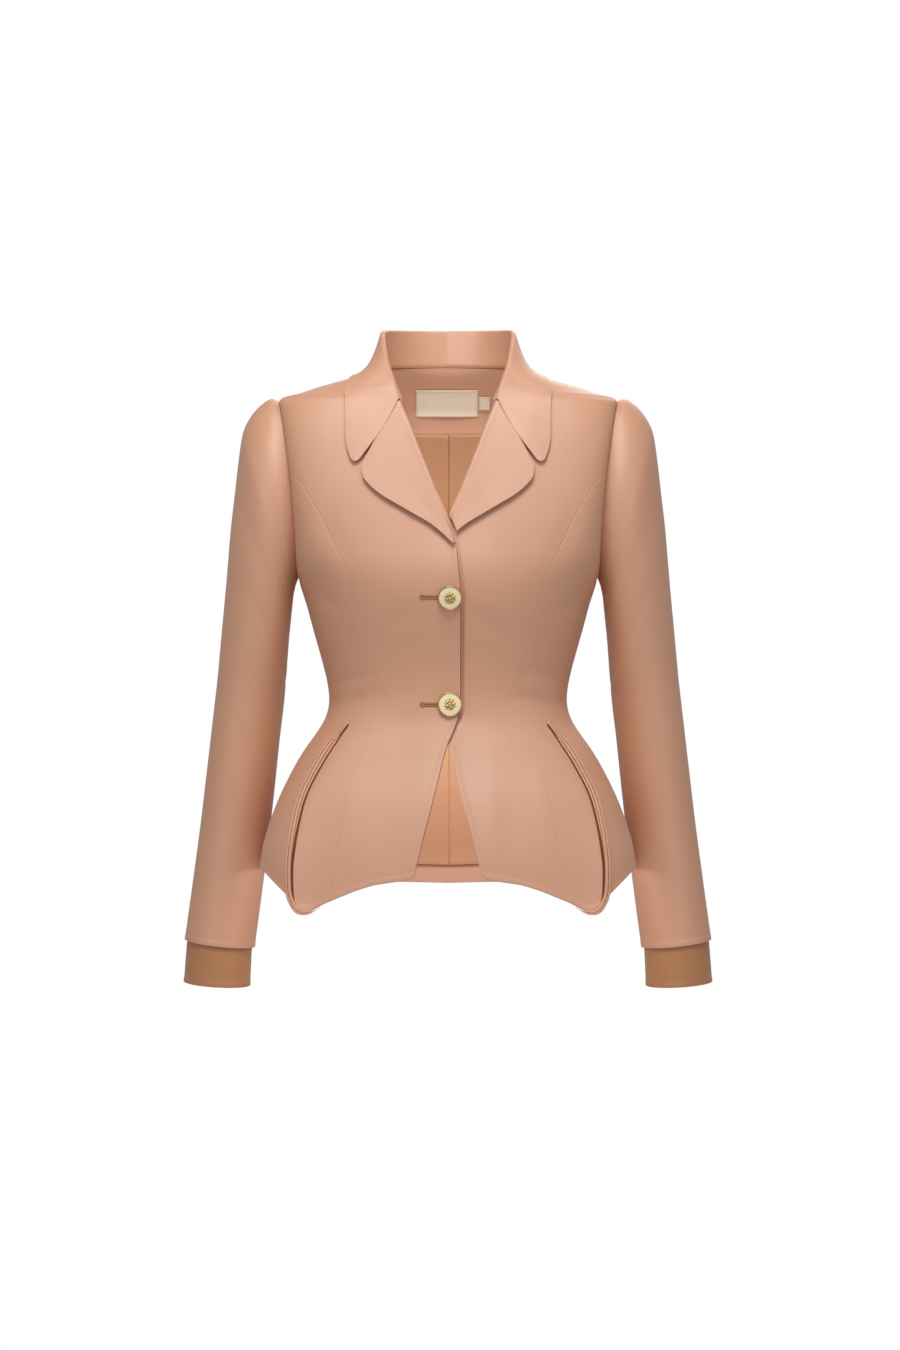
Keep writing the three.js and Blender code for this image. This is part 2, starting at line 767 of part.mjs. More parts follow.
function collarSection(share) {
  const { face, seam, edge, fold } = collarGuide(share);
  const seamPoint = bodyPoint(face, ...seam);
  const edgePoint = bodyPoint(face, ...edge);
  const outward = new THREE.Vector3(fold.x, fold.y + 5, 0).normalize();
  const up = fold.clone().sub(seamPoint).addScaledVector(fold.clone().sub(edgePoint), 0.3).normalize();
  const start = collarStart(face, seam);
  const stand = STAND_STEPS.map((t) => start.clone().lerp(fold, t));
  const bend = FOLD_ANGLES.map((angle) =>
    fold
      .clone()
      .addScaledVector(outward, (FOLD_WIDTH / 2) * (1 - Math.cos(rad(angle))))
      .addScaledVector(up, (FOLD_WIDTH / 2) * Math.sin(rad(angle))),
  );
  const rise = fold.clone().sub(seamPoint);
  const fall = FALL_STEPS.map((t) => {
    const bow = END_BOW * 4 * t * (1 - t) * smooth((share - END_BOW_FROM) / (1 - END_BOW_FROM));
    const onBody = [lerp(seam[0], edge[0], t), lerp(seam[1], edge[1], t) - bow];
    const lifted = bodyNormal(face, ...onBody).multiplyScalar(COLLAR_LIFT(share).lift);
    const offset = outward.clone().multiplyScalar(FOLD_WIDTH).lerp(lifted, smooth(t * 1.6));
    return bodyPoint(face, ...onBody).addScaledVector(rise, (1 - t) ** FALL_HOLLOW).add(offset);
  });
  return [...stand, ...bend, ...fall];
}

const COLLAR_SHARES = [0, 0.1, 0.2, 0.28, 0.36, 0.44, 0.52, 0.59, 0.66, 0.74, 0.82, 0.88, 0.94, 1];

function collarWall() {
  const half = COLLAR_SHARES.map(collarSection);
  const mirrored = half.slice(1).map((row) => row.map((p) => new THREE.Vector3(-p.x, p.y, p.z)));
  return sheetWall([...half.reverse(), ...mirrored], COLLAR_CLOTH);
}

// A wall whose middle is a grid of points.
function sheetWall(grid, thickness) {
  const [rows, columns] = [grid.length, grid[0].length];
  const normals = grid.map((row, r) =>
    row.map((_, c) => {
      const along = grid[Math.min(r + 1, rows - 1)][c].clone().sub(grid[Math.max(r - 1, 0)][c]);
      const across = row[Math.min(c + 1, columns - 1)].clone().sub(row[Math.max(c - 1, 0)]);
      return along.cross(across).normalize();
    }),
  );
  const [outer, inner] = [0.5, -0.5].map((share) =>
    grid.map((row, r) => row.map((p, c) => p.clone().addScaledVector(normals[r][c], share * thickness))),
  );
  return wall(outer, inner, { guide: grid });
}

// The lapel's edges, by distance out and level: its outer edge from the break point, and its top along the gorge.
const BREAK_LEVEL = -196;
const GORGE_LEVEL = -47.5;
const LAPEL_EDGE = table(
  ["share", "out", "level"],
  [
    [0, -5.5, -197],
    [0.13, 5.3, -186.5],
    [0.26, 18, -176],
    [0.42, 35.4, -165.5],
    [0.58, 52, -155.5],
    [0.74, 69.2, -145],
    [0.88, 82, -134],
    [0.96, 89, -124.5],
    [1, 91, -115.5],
  ],
);
const LAPEL_TOP = table(
  ["share", "out", "level"],
  [
    [0, 50.5, -47.5],
    [0.55, 73.5, -82.5],
    [0.75, 81.5, -97],
    [1, 91, -115.5],
  ],
);
const LAPEL_LIFTS = table(
  ["share", "lift"],
  [
    [0, 2.3],
    [0.2, 4.4],
    [0.5, 5],
    [1, 4.6],
  ],
);

// The left lapel ends where the right front covers it.
const UNDER_LAPEL_START = 0.17;
const UNDER_LAPEL_GAP = 0.9;

function lapelGrid(side, depth) {
  const [rows, columns] = [14, 6];
  const start = side > 0 ? UNDER_LAPEL_START : 0;
  return Array.from({ length: rows + 1 }, (_, r) => {
    const t = lerp(start, 1, r / rows);
    const rollLevel = lerp(BREAK_LEVEL, GORGE_LEVEL, t);
    const edgeOut = FRONT_EDGE(rollLevel).out + 0.2;
    const rollOut = side > 0 ? Math.max(edgeOut, UNDER_LAPEL_GAP - edgeOut) : edgeOut;
    const roll = { out: rollOut, level: rollLevel };
    const edge = LAPEL_EDGE(t);
    return Array.from({ length: columns + 1 }, (_, c) => {
      const s = c / columns;
      const top = LAPEL_TOP(s);
      const straight = { out: lerp(50.5, 91, s), level: lerp(GORGE_LEVEL, -115.5, s) };
      const out = lerp(roll.out, edge.out, s) + (top.out - straight.out) * t * t;
      const level = lerp(roll.level, edge.level, s) + (top.level - straight.level) * t * t;
      return frontPoint(side, out, level, LAPEL_LIFTS(s).lift - depth);
    });
  });
}

const lapel = (side) => wall(lapelGrid(side, 0), lapelGrid(side, CLOTH));

// The two corded ridges beside the hip crease: strips that follow it, moved out from the side panel.
const RIDGE = { inner: { offset: 2.3, width: 3.4, height: 4.6 }, outer: { offset: 6.3, width: 3.8, height: 4.2 } };
const RIDGE_LEVELS = [-384, -391, -400, -412, -426, -442, -460, -480, -500, -520, -538, -549, -558];
const RIDGE_LIFT = 0.7; // off the panels
const RIDGE_TAPER = 60; // the strips reach their full size over this length
const RIDGE_SECTION = [
  [-0.5, 0],
  [-0.5, 0.55],
  [-0.25, 0.95],
  [0.25, 0.95],
  [0.5, 0.55],
  [0.5, 0],
];

function ridge(side, { offset, width, height }) {
  const face = { side, back: false };
  const [first] = RIDGE_LEVELS;
  const rings = RIDGE_LEVELS.map((level) => {
    const size = 0.35 + 0.65 * smooth((first - level) / RIDGE_TAPER);
    const crease = HIP_CREASE(level).out;
    return RIDGE_SECTION.map(([across, up]) => {
      const creaseAngle = angleAt(face, crease, level);
      const here = bodyPoint(face, creaseAngle, level);
      const next = bodyPoint(face, creaseAngle + 1, level);
      const angle = creaseAngle + ((offset + across * width) * size) / here.distanceTo(next);
      return liftedPoint(face, angle, level, RIDGE_LIFT + up * height * size);
    });
  });
  return rod(rings);
}

// Pieces that show inside: the neck facing, the lining's two backs, and the two blank labels.
// They are made from the back panels' own points, moved in.
const INSIDE_LIFT = -(CLOTH + SEAM_GAP);
const FACING_ROW = 24; // the back panel's row where the lining ends and the facing starts
const FACING_COLUMNS = 4;
const LINING_ROW = 1;

function backLining(side) {
  const grid = backGrid(side).slice(LINING_ROW, FACING_ROW + 1);
  return clothWall({ side, back: true }, grid, { thickness: LINING, lift: INSIDE_LIFT, gaps: [1, 1, 0, 1] });
}

function backFacing() {
  const across = (point) => {
    const [right, left] = [-1, 1].map((side) =>
      backGrid(side)
        .slice(FACING_ROW)
        .map((row) => row.slice(0, FACING_COLUMNS + 1).map(([angle, level]) => point({ side, back: true }, angle, level))),
    );
    return right.map((row, r) => [...row.slice(1).reverse(), ...left[r]]);
  };
  const [outer, inner] = [0, LINING].map((depth) =>
    across((face, angle, level) => liftedPoint(face, angle, level, INSIDE_LIFT - depth)),
  );
  drawIn(outer, inner, [0, 0, 1, 6]);
  return wall(outer, inner, { guide: across(bodyPoint) });
}

function levelOfHeight(z) {
  let [low, high] = [ARMHOLE_BOTTOM, NECK_LEVEL];
  for (let i = 0; i < 30; i += 1) {
    const middle = (low + high) / 2;
    if (RING(middle).z + RING(middle).rise < z) low = middle;
    else high = middle;
  }
  return (low + high) / 2;
}

const LABEL_CLOTH = 0.8;
const LABEL_GAP = 1;

function labelPlate({ width, height, centreX, centreZ }, columns) {
  const build = (depth) =>
    spread(-height / 2, height / 2, 3).map((up) =>
      spread(-width / 2, width / 2, columns).map((along) => {
        const x = centreX + along;
        const level = levelOfHeight(centreZ + up);
        const face = { side: x < 0 ? -1 : 1, back: true };
        const lift = INSIDE_LIFT - LINING - LABEL_GAP - depth;
        return liftedPoint(face, angleAt(face, Math.abs(x), level), level, lift);
      }),
    );
  return wall(build(0), build(LABEL_CLOTH));
}

// A button with a raised rim and a shank that passes through its buttonhole to the front below.
const SHANK_RADIUS = 1.4;
const BUTTON_CLEARANCE = 1.6; // behind the button, over the curve of the front
const SHANK_CLEARANCE = 0.35; // from the shank's end to the front below

function buttonFrame(level) {
  const face = { side: -1, back: false };
  const angle = angleAt(face, -BUTTON_X, level);
  return { seat: liftedPoint(face, angle, level, 0), normal: bodyNormal(face, angle, level) };
}

function button(level) {
  const { seat, normal } = buttonFrame(level);
  const shank = SHANK_CLEARANCE - 2 * LAP - BUTTON_CLEARANCE;
  const profile = [
    [0, shank],
    [SHANK_RADIUS, shank],
    [SHANK_RADIUS, 0],
    [BUTTON_RADIUS - 1.2, 0],
    [BUTTON_RADIUS, 1.2],
    [BUTTON_RADIUS, 2.6],
    [BUTTON_RADIUS - 0.9, 3.6],
    [BUTTON_RADIUS - 2.2, 3.2],
    [0, 3.2],
  ].map(([r, h]) => new THREE.Vector2(r, h + BUTTON_CLEARANCE));
  const geometry = new THREE.LatheGeometry(profile, 24);
  geometry.applyQuaternion(new THREE.Quaternion().setFromUnitVectors(new THREE.Vector3(0, 1, 0), normal));
  return geometry.translate(seat.x, seat.y, seat.z);
}

function solidOf(geometry) {
  const bare = geometry.clone();
  bare.deleteAttribute("normal");
  bare.deleteAttribute("uv");
  const merged = mergeVertices(bare, 1e-3);
  return new wasm.Manifold(
    new wasm.Mesh({
      numProp: 3,
      vertProperties: merged.attributes.position.array,
      triVerts: new Uint32Array(merged.index.array),
    }),
  );
}

function geometryOf(solid) {
  const { vertProperties, triVerts } = solid.getMesh();
  const geometry = new THREE.BufferGeometry();
  geometry.setAttribute("position", new THREE.BufferAttribute(vertProperties, 3));
  return geometry.setIndex(new THREE.BufferAttribute(triVerts, 1));
}

// The wearer's right front, with its two buttonholes cut through.
function frontWithButtonholes() {
  let solid = solidOf(frontPanel(-1));
  for (const level of Object.values(BUTTON_HEIGHTS)) {
    const { seat } = buttonFrame(level);
    const width = BUTTON_X + SHANK_RADIUS + 1 - BUTTONHOLE_START_X;
    const slot = new THREE.BoxGeometry(width, 20, BUTTONHOLE_HEIGHT);
    slot.translate(BUTTONHOLE_START_X + width / 2, seat.y, level);
    solid = solid.subtract(solidOf(slot));
  }
  return geometryOf(solid);
}

const jacket = new THREE.Group();

function add(name, geometry, colour, roughness = 0.85) {
  const mesh = new THREE.Mesh(geometry, new THREE.MeshStandardMaterial({ color: COLOURS[colour], roughness }));
  mesh.name = name;
  jacket.add(mesh);
}

add("front_right", frontWithButtonholes(), "cloth");
add("front_left", frontPanel(1), "cloth");
for (const [hand, side] of [
  ["right", -1],
  ["left", 1],
]) {
  add(`side_front_${hand}`, sideFrontPanel(side), "cloth");
  add(`side_${hand}`, sidePanel(side), "cloth");
  add(`side_back_${hand}`, sideBackPanel(side), "cloth");
  add(`back_${hand}`, backPanel(side), "cloth");
  add(`lapel_${hand}`, lapel(side), "cloth");
  add(`hip_ridge_inner_${hand}`, ridge(side, RIDGE.inner), "cloth");
  add(`hip_ridge_outer_${hand}`, ridge(side, RIDGE.outer), "cloth");
  add(`upper_sleeve_${hand}`, upperSleeve(side), "cloth");
  add(`under_sleeve_${hand}`, underSleeve(side), "cloth");
  add(`cuff_${hand}`, cuff(side), "cuff", 0.6);
  add(`back_lining_${hand}`, backLining(side), "lining", 0.6);
}
add("collar", collarWall(), "cloth");
add("back_neck_facing", backFacing(), "cloth");
add("label", labelPlate(LABEL, 8), "label", 0.6);
add("size_tab", labelPlate(SIZE_TAB, 2), "label", 0.6);
add("button_upper", button(BUTTON_HEIGHTS.upper), "button", 0.3);
add("button_lower", button(BUTTON_HEIGHTS.lower), "button", 0.3);

export default jacket;
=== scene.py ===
import math
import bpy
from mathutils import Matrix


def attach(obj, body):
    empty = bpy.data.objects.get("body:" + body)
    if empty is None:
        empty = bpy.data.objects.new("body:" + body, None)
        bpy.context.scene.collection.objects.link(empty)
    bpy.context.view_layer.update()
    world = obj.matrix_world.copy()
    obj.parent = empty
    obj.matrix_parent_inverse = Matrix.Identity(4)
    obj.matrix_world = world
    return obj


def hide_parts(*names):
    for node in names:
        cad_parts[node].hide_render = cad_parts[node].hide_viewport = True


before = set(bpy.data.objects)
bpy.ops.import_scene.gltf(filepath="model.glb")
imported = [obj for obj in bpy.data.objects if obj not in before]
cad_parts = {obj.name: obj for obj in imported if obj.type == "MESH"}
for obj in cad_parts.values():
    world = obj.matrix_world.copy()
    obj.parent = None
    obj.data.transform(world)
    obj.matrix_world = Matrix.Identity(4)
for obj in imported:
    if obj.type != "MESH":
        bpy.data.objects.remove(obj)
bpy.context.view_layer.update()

from types import SimpleNamespace

import bpy
import numpy as np
from mathutils import Vector

# A woman's fitted peplum jacket in its worn, hollow form. Sizes are in millimetres until a mesh is made.
# The front faces -Y and the wearer's right side is at -X.

MM = 0.001

# Driving dimensions
CLOTH = 1.7  # wall of the outer cloth
LINING = 0.9
SEAM_GAP = 0.05  # between two sewn pieces
LAP = 1.7  # how far the overlapping front is lifted, and the underlapping one lowered
LAP_FADE = (14, 52)
ARMHOLE_BOTTOM = -226
ARMHOLE_TOP = -36
ARMHOLE_HALF_DEPTH = 50
NECK_LEVEL = 79
FIN_WIDTH = 17
BUTTON_RADIUS = 12.6
BUTTON_LEVELS = {"upper": -250.7, "lower": -362.7}
BUTTON_X = 2.1
BUTTONHOLE_START_X = -28
SLEEVE_FRONT_SEAM = 152
SLEEVE_BACK_SEAM = 248
HANDS = (("right", -1), ("left", 1))  # each side's name, and its sign along X
MIN_WALL = 0.25  # the least thickness at an edge, and the least half thickness of collar and lapels


# Small helpers


def smooth(x):
    x = np.clip(x, 0, 1)
    return x * x * (3 - 2 * x)


def lerp(a, b, t):
    return a + (b - a) * t


def unit(vectors):
    return vectors / np.maximum(np.linalg.norm(vectors, axis=-1, keepdims=True), 1e-9)


def table(columns, rows):
    """A smooth curve without overshoot through a table's rows, read against its first column."""
    data = np.array(rows, float)
    keys = data[:, 0]
    steps = np.diff(data, axis=0) / np.diff(keys)[:, None]
    before = np.vstack([steps[:1], steps])
    after = np.vstack([steps, steps[-1:]])
    same_way = before * after > 0
    total = np.where(same_way, before + after, 1)
    slopes = np.where(same_way, 2 * before * after / total, 0)

    def read(key):
        key = np.asarray(key, float)
        i = np.clip(np.searchsorted(keys, key) - 1, 0, len(keys) - 2)
        width = keys[i + 1] - keys[i]
        t = np.clip((key - keys[i]) / width, 0, 1)
        found = {}
        for c, name in enumerate(columns):
            start, end = data[i, c], data[i + 1, c]
            bend = (t - 1) ** 2 * t * slopes[i, c] * width + t * t * (t - 1) * slopes[i + 1, c] * width
            found[name] = start + (end - start) * t * t * (3 - 2 * t) + bend
        return SimpleNamespace(**found)

    return read


def reading(rows):
    """Straight-line reading of a table's (key, value) rows."""
    keys, values = np.array(rows, float).T
    return lambda key: np.interp(key, keys, values)


# The torso's rings. level is the height up to the shoulder point,
# and the distance along the shoulder above it.
RING = table(
    ["level", "z", "half", "front", "back", "square_front", "square_back", "fin", "rise"],
    [
        [-590, -590, 204, 146, 150, 4.3, 2.7, 9, 0],
        [-526, -526, 200, 141, 141, 4.1, 2.6, 8, 0],
        [-494, -494, 192.5, 135, 132, 3.8, 2.5, 7, 0],
        [-461, -461, 180.4, 126, 120, 3.5, 2.4, 5.5, 0],
        [-429, -429, 164.7, 113, 106, 3.1, 2.3, 3, 0],
        [-412, -412, 155.2, 107, 98, 2.9, 2.3, 1.5, 0],
        [-396, -396, 142.9, 101.5, 92, 2.6, 2.2, 0.5, 0],
        [-380, -380, 132.3, 97, 86.5, 2.4, 2.2, 0, 0],
        [-364, -364, 127.4, 94.5, 83, 2.3, 2.2, 0, 0],
        [-348, -348, 128.5, 95, 82.5, 2.3, 2.2, 0, 0],
        [-315, -315, 136.1, 101, 85, 2.3, 2.2, 0, 0],
        [-283, -283, 145.3, 111, 89.5, 2.3, 2.25, 0, 0],
        [-250, -250, 153.9, 120.5, 93.5, 2.35, 2.3, 0, 0],
        [-226, -226, 162, 123.5, 96.5, 2.4, 2.35, 0, 0],
        [-190, -190, 162.6, 117, 101, 2.5, 2.5, 0, 0],
        [-150, -150, 165, 108, 104, 2.6, 2.6, 0, 0],
        [-110, -110, 169, 98, 103.5, 2.6, 2.6, 0, 0],
        [-75, -75, 174, 88, 99, 2.5, 2.5, 0, 0],
        [-50, -50, 178.5, 79.5, 93, 2.4, 2.4, 0, 0],
        [-36, -36, 181.5, 74, 88, 2.3, 2.3, 0, 0],
        [-14, -28.5, 160, 70, 83, 2.25, 2.25, 0, 1],
        [8, -21.6, 139.3, 66.5, 78, 2.2, 2.2, 0, 2.5],
        [31, -15.1, 116.6, 62.5, 72, 2.15, 2.15, 0, 4.5],
        [55, -8.8, 93.2, 59.5, 65.5, 2.1, 2.1, 0, 6],
        [79, -1.7, 70, 57, 60, 2.05, 2.05, 0, 7.5],
    ],
)

EASE_SPREAD = 20  # how far up and down the rings are eased below the shoulder, so that none shows
EASE_BELOW, EASE_WHOLE = -64, -100
EASE_STEPS = np.linspace(-1, 1, 9)
EASE_WEIGHTS = np.cos(EASE_STEPS * np.pi / 2.2) / np.cos(EASE_STEPS * np.pi / 2.2).sum()


def eased(read, level):
    """A reading by level, averaged over nearby levels."""
    level = np.asarray(level, float)
    spread = EASE_SPREAD * smooth((EASE_BELOW - level) / (EASE_BELOW - EASE_WHOLE))
    return sum(weight * read(level + step * spread) for step, weight in zip(EASE_STEPS, EASE_WEIGHTS))


RING_NAMES = ("z", "half", "front", "back", "square_front", "square_back", "fin", "rise")
FINE_LEVELS = np.arange(-600, NECK_LEVEL + 0.1, 0.25)


def fine_rings():
    """The eased rings at closely spaced levels, worked out once."""
    whole = eased(lambda at: np.stack([getattr(RING(at), name) for name in RING_NAMES]), FINE_LEVELS)
    whole[0] = RING(FINE_LEVELS).z
    return dict(zip(RING_NAMES, whole))


FINE_RINGS = fine_rings()


def ring_at(level):
    return SimpleNamespace(**{name: np.interp(level, FINE_LEVELS, FINE_RINGS[name]) for name in RING_NAMES})


# Seams and edges: the distance out from the centre line at each level.
FRONT_EDGE = table(
    ["level", "out"],
    [
        [-541, 35], [-533, 33], [-500, 25], [-470, 17], [-440, 9.5], [-406, 0.5], [-392, -5.5],
        [-378, -10.5], [-357, -13.5], [-253, -13.5], [-222, -11.5], [-196, -8.3], [-169, -1],
        [-136, 13.2], [-106, 25], [-76, 36.8], [-46, 50], [-36, 53], [-14, 56.5], [8, 59], [31, 61],
        [50, 63], [65, 65.5], [74, 67.5], [79, 70],
    ],
)
FRONT_PRINCESS = table(
    ["level", "out"],
    [
        [-570, 122.5], [-517, 115.5], [-491, 110.8], [-451, 103.5], [-421, 94.8], [-379, 80.6],
        [-362, 76.5], [-337, 77.4], [-300, 83.5], [-266, 91.6], [-233, 101.2], [-207, 113.6],
        [-190, 121.5], [-158, 137.5], [-133, 152.7], [-113, 170],
    ],
)
HIP_CREASE = table(
    ["level", "out"],
    [
        [-575, 153], [-567, 157.5], [-554, 160.3], [-533, 161], [-508, 158.6], [-484, 154.5],
        [-460, 148.5], [-424, 131], [-394, 112], [-381, 104.5], [-337, 105.2], [-297, 112.3],
        [-270, 120.7], [-237, 134.8], [-210, 147], [-178, 163.5],
    ],
)
BACK_PRINCESS = table(
    ["level", "out"],
    [
        [-570, 102], [-500, 92], [-430, 76], [-364, 61], [-300, 70], [-226, 96], [-180, 117],
        [-145, 147], [-118, 170],
    ],
)
FRONT_HEM = table(
    ["out", "level"],
    [
        [33, -536], [38, -541.5], [53, -544.5], [75, -548], [95, -554], [111, -560.5], [122, -565],
        [135, -571], [146, -575], [152, -574], [158, -568],
    ],
)
BACK_HEM = table(
    ["angle", "level"],
    [
        [0, -567], [25, -564.5], [50, -554], [72, -543], [90, -536],
    ],
)


# The torso's surface. A face is one quarter of it: a side (-1 or 1), and the front or the back.
# angle runs from 0 at the centre line to 90 at the side.


def armhole_half_depth(level):
    middle = (ARMHOLE_TOP + ARMHOLE_BOTTOM) / 2
    reach = (ARMHOLE_TOP - ARMHOLE_BOTTOM) / 2
    return ARMHOLE_HALF_DEPTH * np.sqrt(np.maximum(0, 1 - ((level - middle) / reach) ** 2))


FINE_OPENING = eased(armhole_half_depth, FINE_LEVELS)
FINE_CREASE = HIP_CREASE(FINE_LEVELS).out


def face_of(side, back):
    return SimpleNamespace(side=side, back=back)


def angle_at(face, out, level):
    ring = ring_at(level)
    square = ring.square_back if face.back else ring.square_front
    across = np.clip(out / ring.half, -1, 1)
    return np.degrees(np.arctan2(across, (1 - np.abs(across) ** square) ** (1 / square)))


SIDE_FROM, SIDE_FADE = 62, 26  # the angles over which the armhole's true outline takes over


def body_point(face, angle, level):
    ring = ring_at(level)
    square = ring.square_back if face.back else ring.square_front
    depth = ring.back if face.back else ring.front
    across = np.sin(np.radians(angle))
    along = np.maximum(0, np.cos(np.radians(angle)))
    reach = (np.abs(across) ** square + along**square) ** (-1 / square)
    at_side = smooth((np.asarray(angle) - SIDE_FROM) / SIDE_FADE)
    opening = lerp(np.interp(level, FINE_LEVELS, FINE_OPENING), armhole_half_depth(level), at_side)
    out = ring.half * reach * across
    swell = 1
    if not face.back:
        off_crease = (out - np.interp(level, FINE_LEVELS, FINE_CREASE) - FIN_WIDTH / 4) / FIN_WIDTH
        swell = 1 + (ring.fin / depth) * np.exp(-off_crease * off_crease) * along
    deep = (1 if face.back else -1) * (opening + (depth - opening) * reach * along * swell)
    height = ring.z + (ring.rise * along if face.back else 0)
    return np.stack(np.broadcast_arrays(face.side * out, deep, height), axis=-1)


SLOPE_STEP = 0.5  # degrees and millimetres


def body_normal(face, angle, level):
    at = np.clip(angle, -90 + SLOPE_STEP, 90 - SLOPE_STEP)
    high = np.minimum(level + SLOPE_STEP, NECK_LEVEL)
    across = body_point(face, at + SLOPE_STEP, level) - body_point(face, at - SLOPE_STEP, level)
    up = body_point(face, at, high) - body_point(face, at, level - SLOPE_STEP)
    turn = face.side * (-1 if face.back else 1)
    return unit(np.cross(across, up)) * np.asarray(turn)[..., None]


def lap_lift(side, out):
    """The fronts overlap at the centre: the wearer's right one lies on top."""
    fade = 1 - smooth((out - LAP_FADE[0]) / (LAP_FADE[1] - LAP_FADE[0]))
    return np.where(side < 0, LAP, -LAP) * fade


# Soft troughs and ridges of the worn cloth, each a line across the body's surface.
# out and z in millimetres; wide is a half width; a negative depth is a trough.
CREASES = [
    # side, back, out 1, z 1, out 2, z 2, wide, depth
    (-1, False, 62, -352, 128, -372, 9, -1.3),
    (-1, False, 70, -332, 125, -345, 7, -0.8),
    (1, False, 58, -356, 128, -368, 8, -1.2),
    (1, False, 74, -328, 122, -340, 9, -0.9),
    (-1, False, 20, -262, 70, -290, 10, -0.6),
    (1, False, 14, -268, 66, -300, 11, -0.7),
    (-1, False, 18, -372, 66, -396, 10, -0.7),
    (1, False, 10, -370, 60, -402, 9, -0.6),
    (-1, False, 132, -150, 96, -218, 12, -1.2),
    (1, False, 134, -146, 100, -226, 11, -1.0),
    (-1, False, 148, -232, 110, -262, 8, -1.0),
    (1, False, 150, -236, 112, -270, 9, -1.1),
    (-1, False, 52, -440, 64, -535, 15, -1.0),
    (1, False, 56, -446, 62, -530, 13, -0.9),
    (-1, False, 90, -425, 104, -540, 11, 0.7),
    (1, False, 88, -420, 100, -545, 12, 0.8),
    (-1, True, 8, -348, 108, -362, 9, -1.5),
    (1, True, 6, -352, 112, -366, 10, -1.4),
    (-1, True, 20, -322, 116, -334, 8, -1.0),
    (1, True, 30, -318, 110, -328, 9, -0.9),
    (-1, True, 128, -142, 84, -226, 13, -1.4),
    (1, True, 132, -138, 90, -232, 12, -1.2),
    (-1, True, 146, -236, 96, -268, 9, -1.1),
    (1, True, 148, -240, 100, -276, 8, -1.0),
    (-1, True, 44, -430, 58, -545, 16, -1.6),
    (1, True, 40, -436, 52, -540, 14, -1.4),
    (-1, True, 116, -440, 138, -520, 12, 1.1),
    (1, True, 112, -436, 142, -524, 13, 1.0),
    (-1, True, 4, -40, 70, -66, 12, -0.8),
    (1, True, 6, -44, 66, -62, 11, -0.7),
]


def crease_lift(face, points):
    out = face.side * points[..., 0]
    height = points[..., 2]
    lift = np.zeros(out.shape)
    for side, back, out_1, z_1, out_2, z_2, wide, depth in CREASES:
        if side != face.side or back != face.back:
            continue
        run = np.array([out_2 - out_1, z_2 - z_1])
        length = np.linalg.norm(run)
        run = run / length
        along = ((out - out_1) * run[0] + (height - z_1) * run[1]) / length
        off = (out - out_1) * run[1] - (height - z_1) * run[0]
        off = off + wide * 0.5 * np.sin(along * 3)
        ends = np.clip(1 - (2 * along - 1) ** 2, 0, 1)
        lift = lift + depth * ends * np.exp(-((off / wide) ** 2))
    return lift


def lifted_point(face, angle, level, lift, creased=True):
    points = body_point(face, angle, level)
    total = np.asarray(lift, float)
    if not face.back:
        total = total + lap_lift(face.side, face.side * points[..., 0])
    if creased:
        total = total + crease_lift(face, points)
    return points + body_normal(face, angle, level) * total[..., None]


# Meshes


def mesh_object(name, points, faces, materials, slots=None, uvs=None):
    """A mesh object from points in millimetres. It is turned inside out if its faces point in."""
    points = np.asarray(points, float)
    faces = [tuple(f) for f in faces]
    corners = np.array([(f[0], f[i], f[i + 1]) for f in faces for i in range(1, len(f) - 1)])
    a, b, c = points[corners[:, 0]], points[corners[:, 1]], points[corners[:, 2]]
    if np.einsum("ij,ij->i", a, np.cross(b, c)).sum() < 0:
        faces = [f[::-1] for f in faces]
    mesh = bpy.data.meshes.new(name)
    mesh.from_pydata((points * MM).tolist(), [], faces)
    for material in materials:
        mesh.materials.append(material)
    if slots is not None:
        mesh.polygons.foreach_set("material_index", np.asarray(slots, np.int32))
    mesh.polygons.foreach_set("use_smooth", np.full(len(faces), True))
    if uvs is not None:
        layer = mesh.uv_layers.new(name="UVMap")
        index = np.empty(len(mesh.loops), np.int32)
        mesh.loops.foreach_get("vertex_index", index)
        layer.data.foreach_set("uv", (np.asarray(uvs, float)[index] * MM).ravel())
    mesh.update()
    obj = bpy.data.objects.new(name, mesh)
    bpy.context.scene.collection.objects.link(obj)
    return obj


def grid_faces(rows, columns, looped=False):
    """The squares of a grid of points numbered row by row."""
    last = columns if looped else columns - 1
    r, c = np.meshgrid(np.arange(rows - 1), np.arange(last), indexing="ij")
    low = r * columns
    high = low + columns
    next_c = (c + 1) % columns
    return np.stack([low + c, low + next_c, high + next_c, high + c], axis=-1).reshape(-1, 4)


def shell(name, outer, inner, materials, uv, inner_slot=0, outer_slot=0):
    """A closed thin shell between an outer and an inner grid of points.
    inner_slot and outer_slot give the material of those squares, as one number or a grid of them."""
    rows, columns = outer.shape[:2]
    count = rows * columns
    outside = grid_faces(rows, columns)
    inside = outside[:, ::-1] + count
    across = np.arange(columns - 1)
    bottom = np.stack([across, across + count, across + 1 + count, across + 1], axis=-1)
    top = bottom[:, ::-1] + (rows - 1) * columns
    low = np.arange(rows - 1) * columns
    left = np.stack([low, low + columns, low + columns + count, low + count], axis=-1)
    right = left[:, ::-1] + columns - 1
    faces = np.concatenate([outside, inside, bottom, top, left, right])
    slots = np.zeros(len(faces), np.int32)
    for start, slot in ((0, outer_slot), (len(outside), inner_slot)):
        slots[start : start + len(outside)] = np.broadcast_to(slot, (rows - 1, columns - 1)).ravel()
    uvs = np.concatenate([uv.reshape(-1, 2)] * 2)
    points = np.concatenate([outer.reshape(-1, 3), inner.reshape(-1, 3)])
    return mesh_object(name, points, faces.tolist(), materials, slots, uvs)


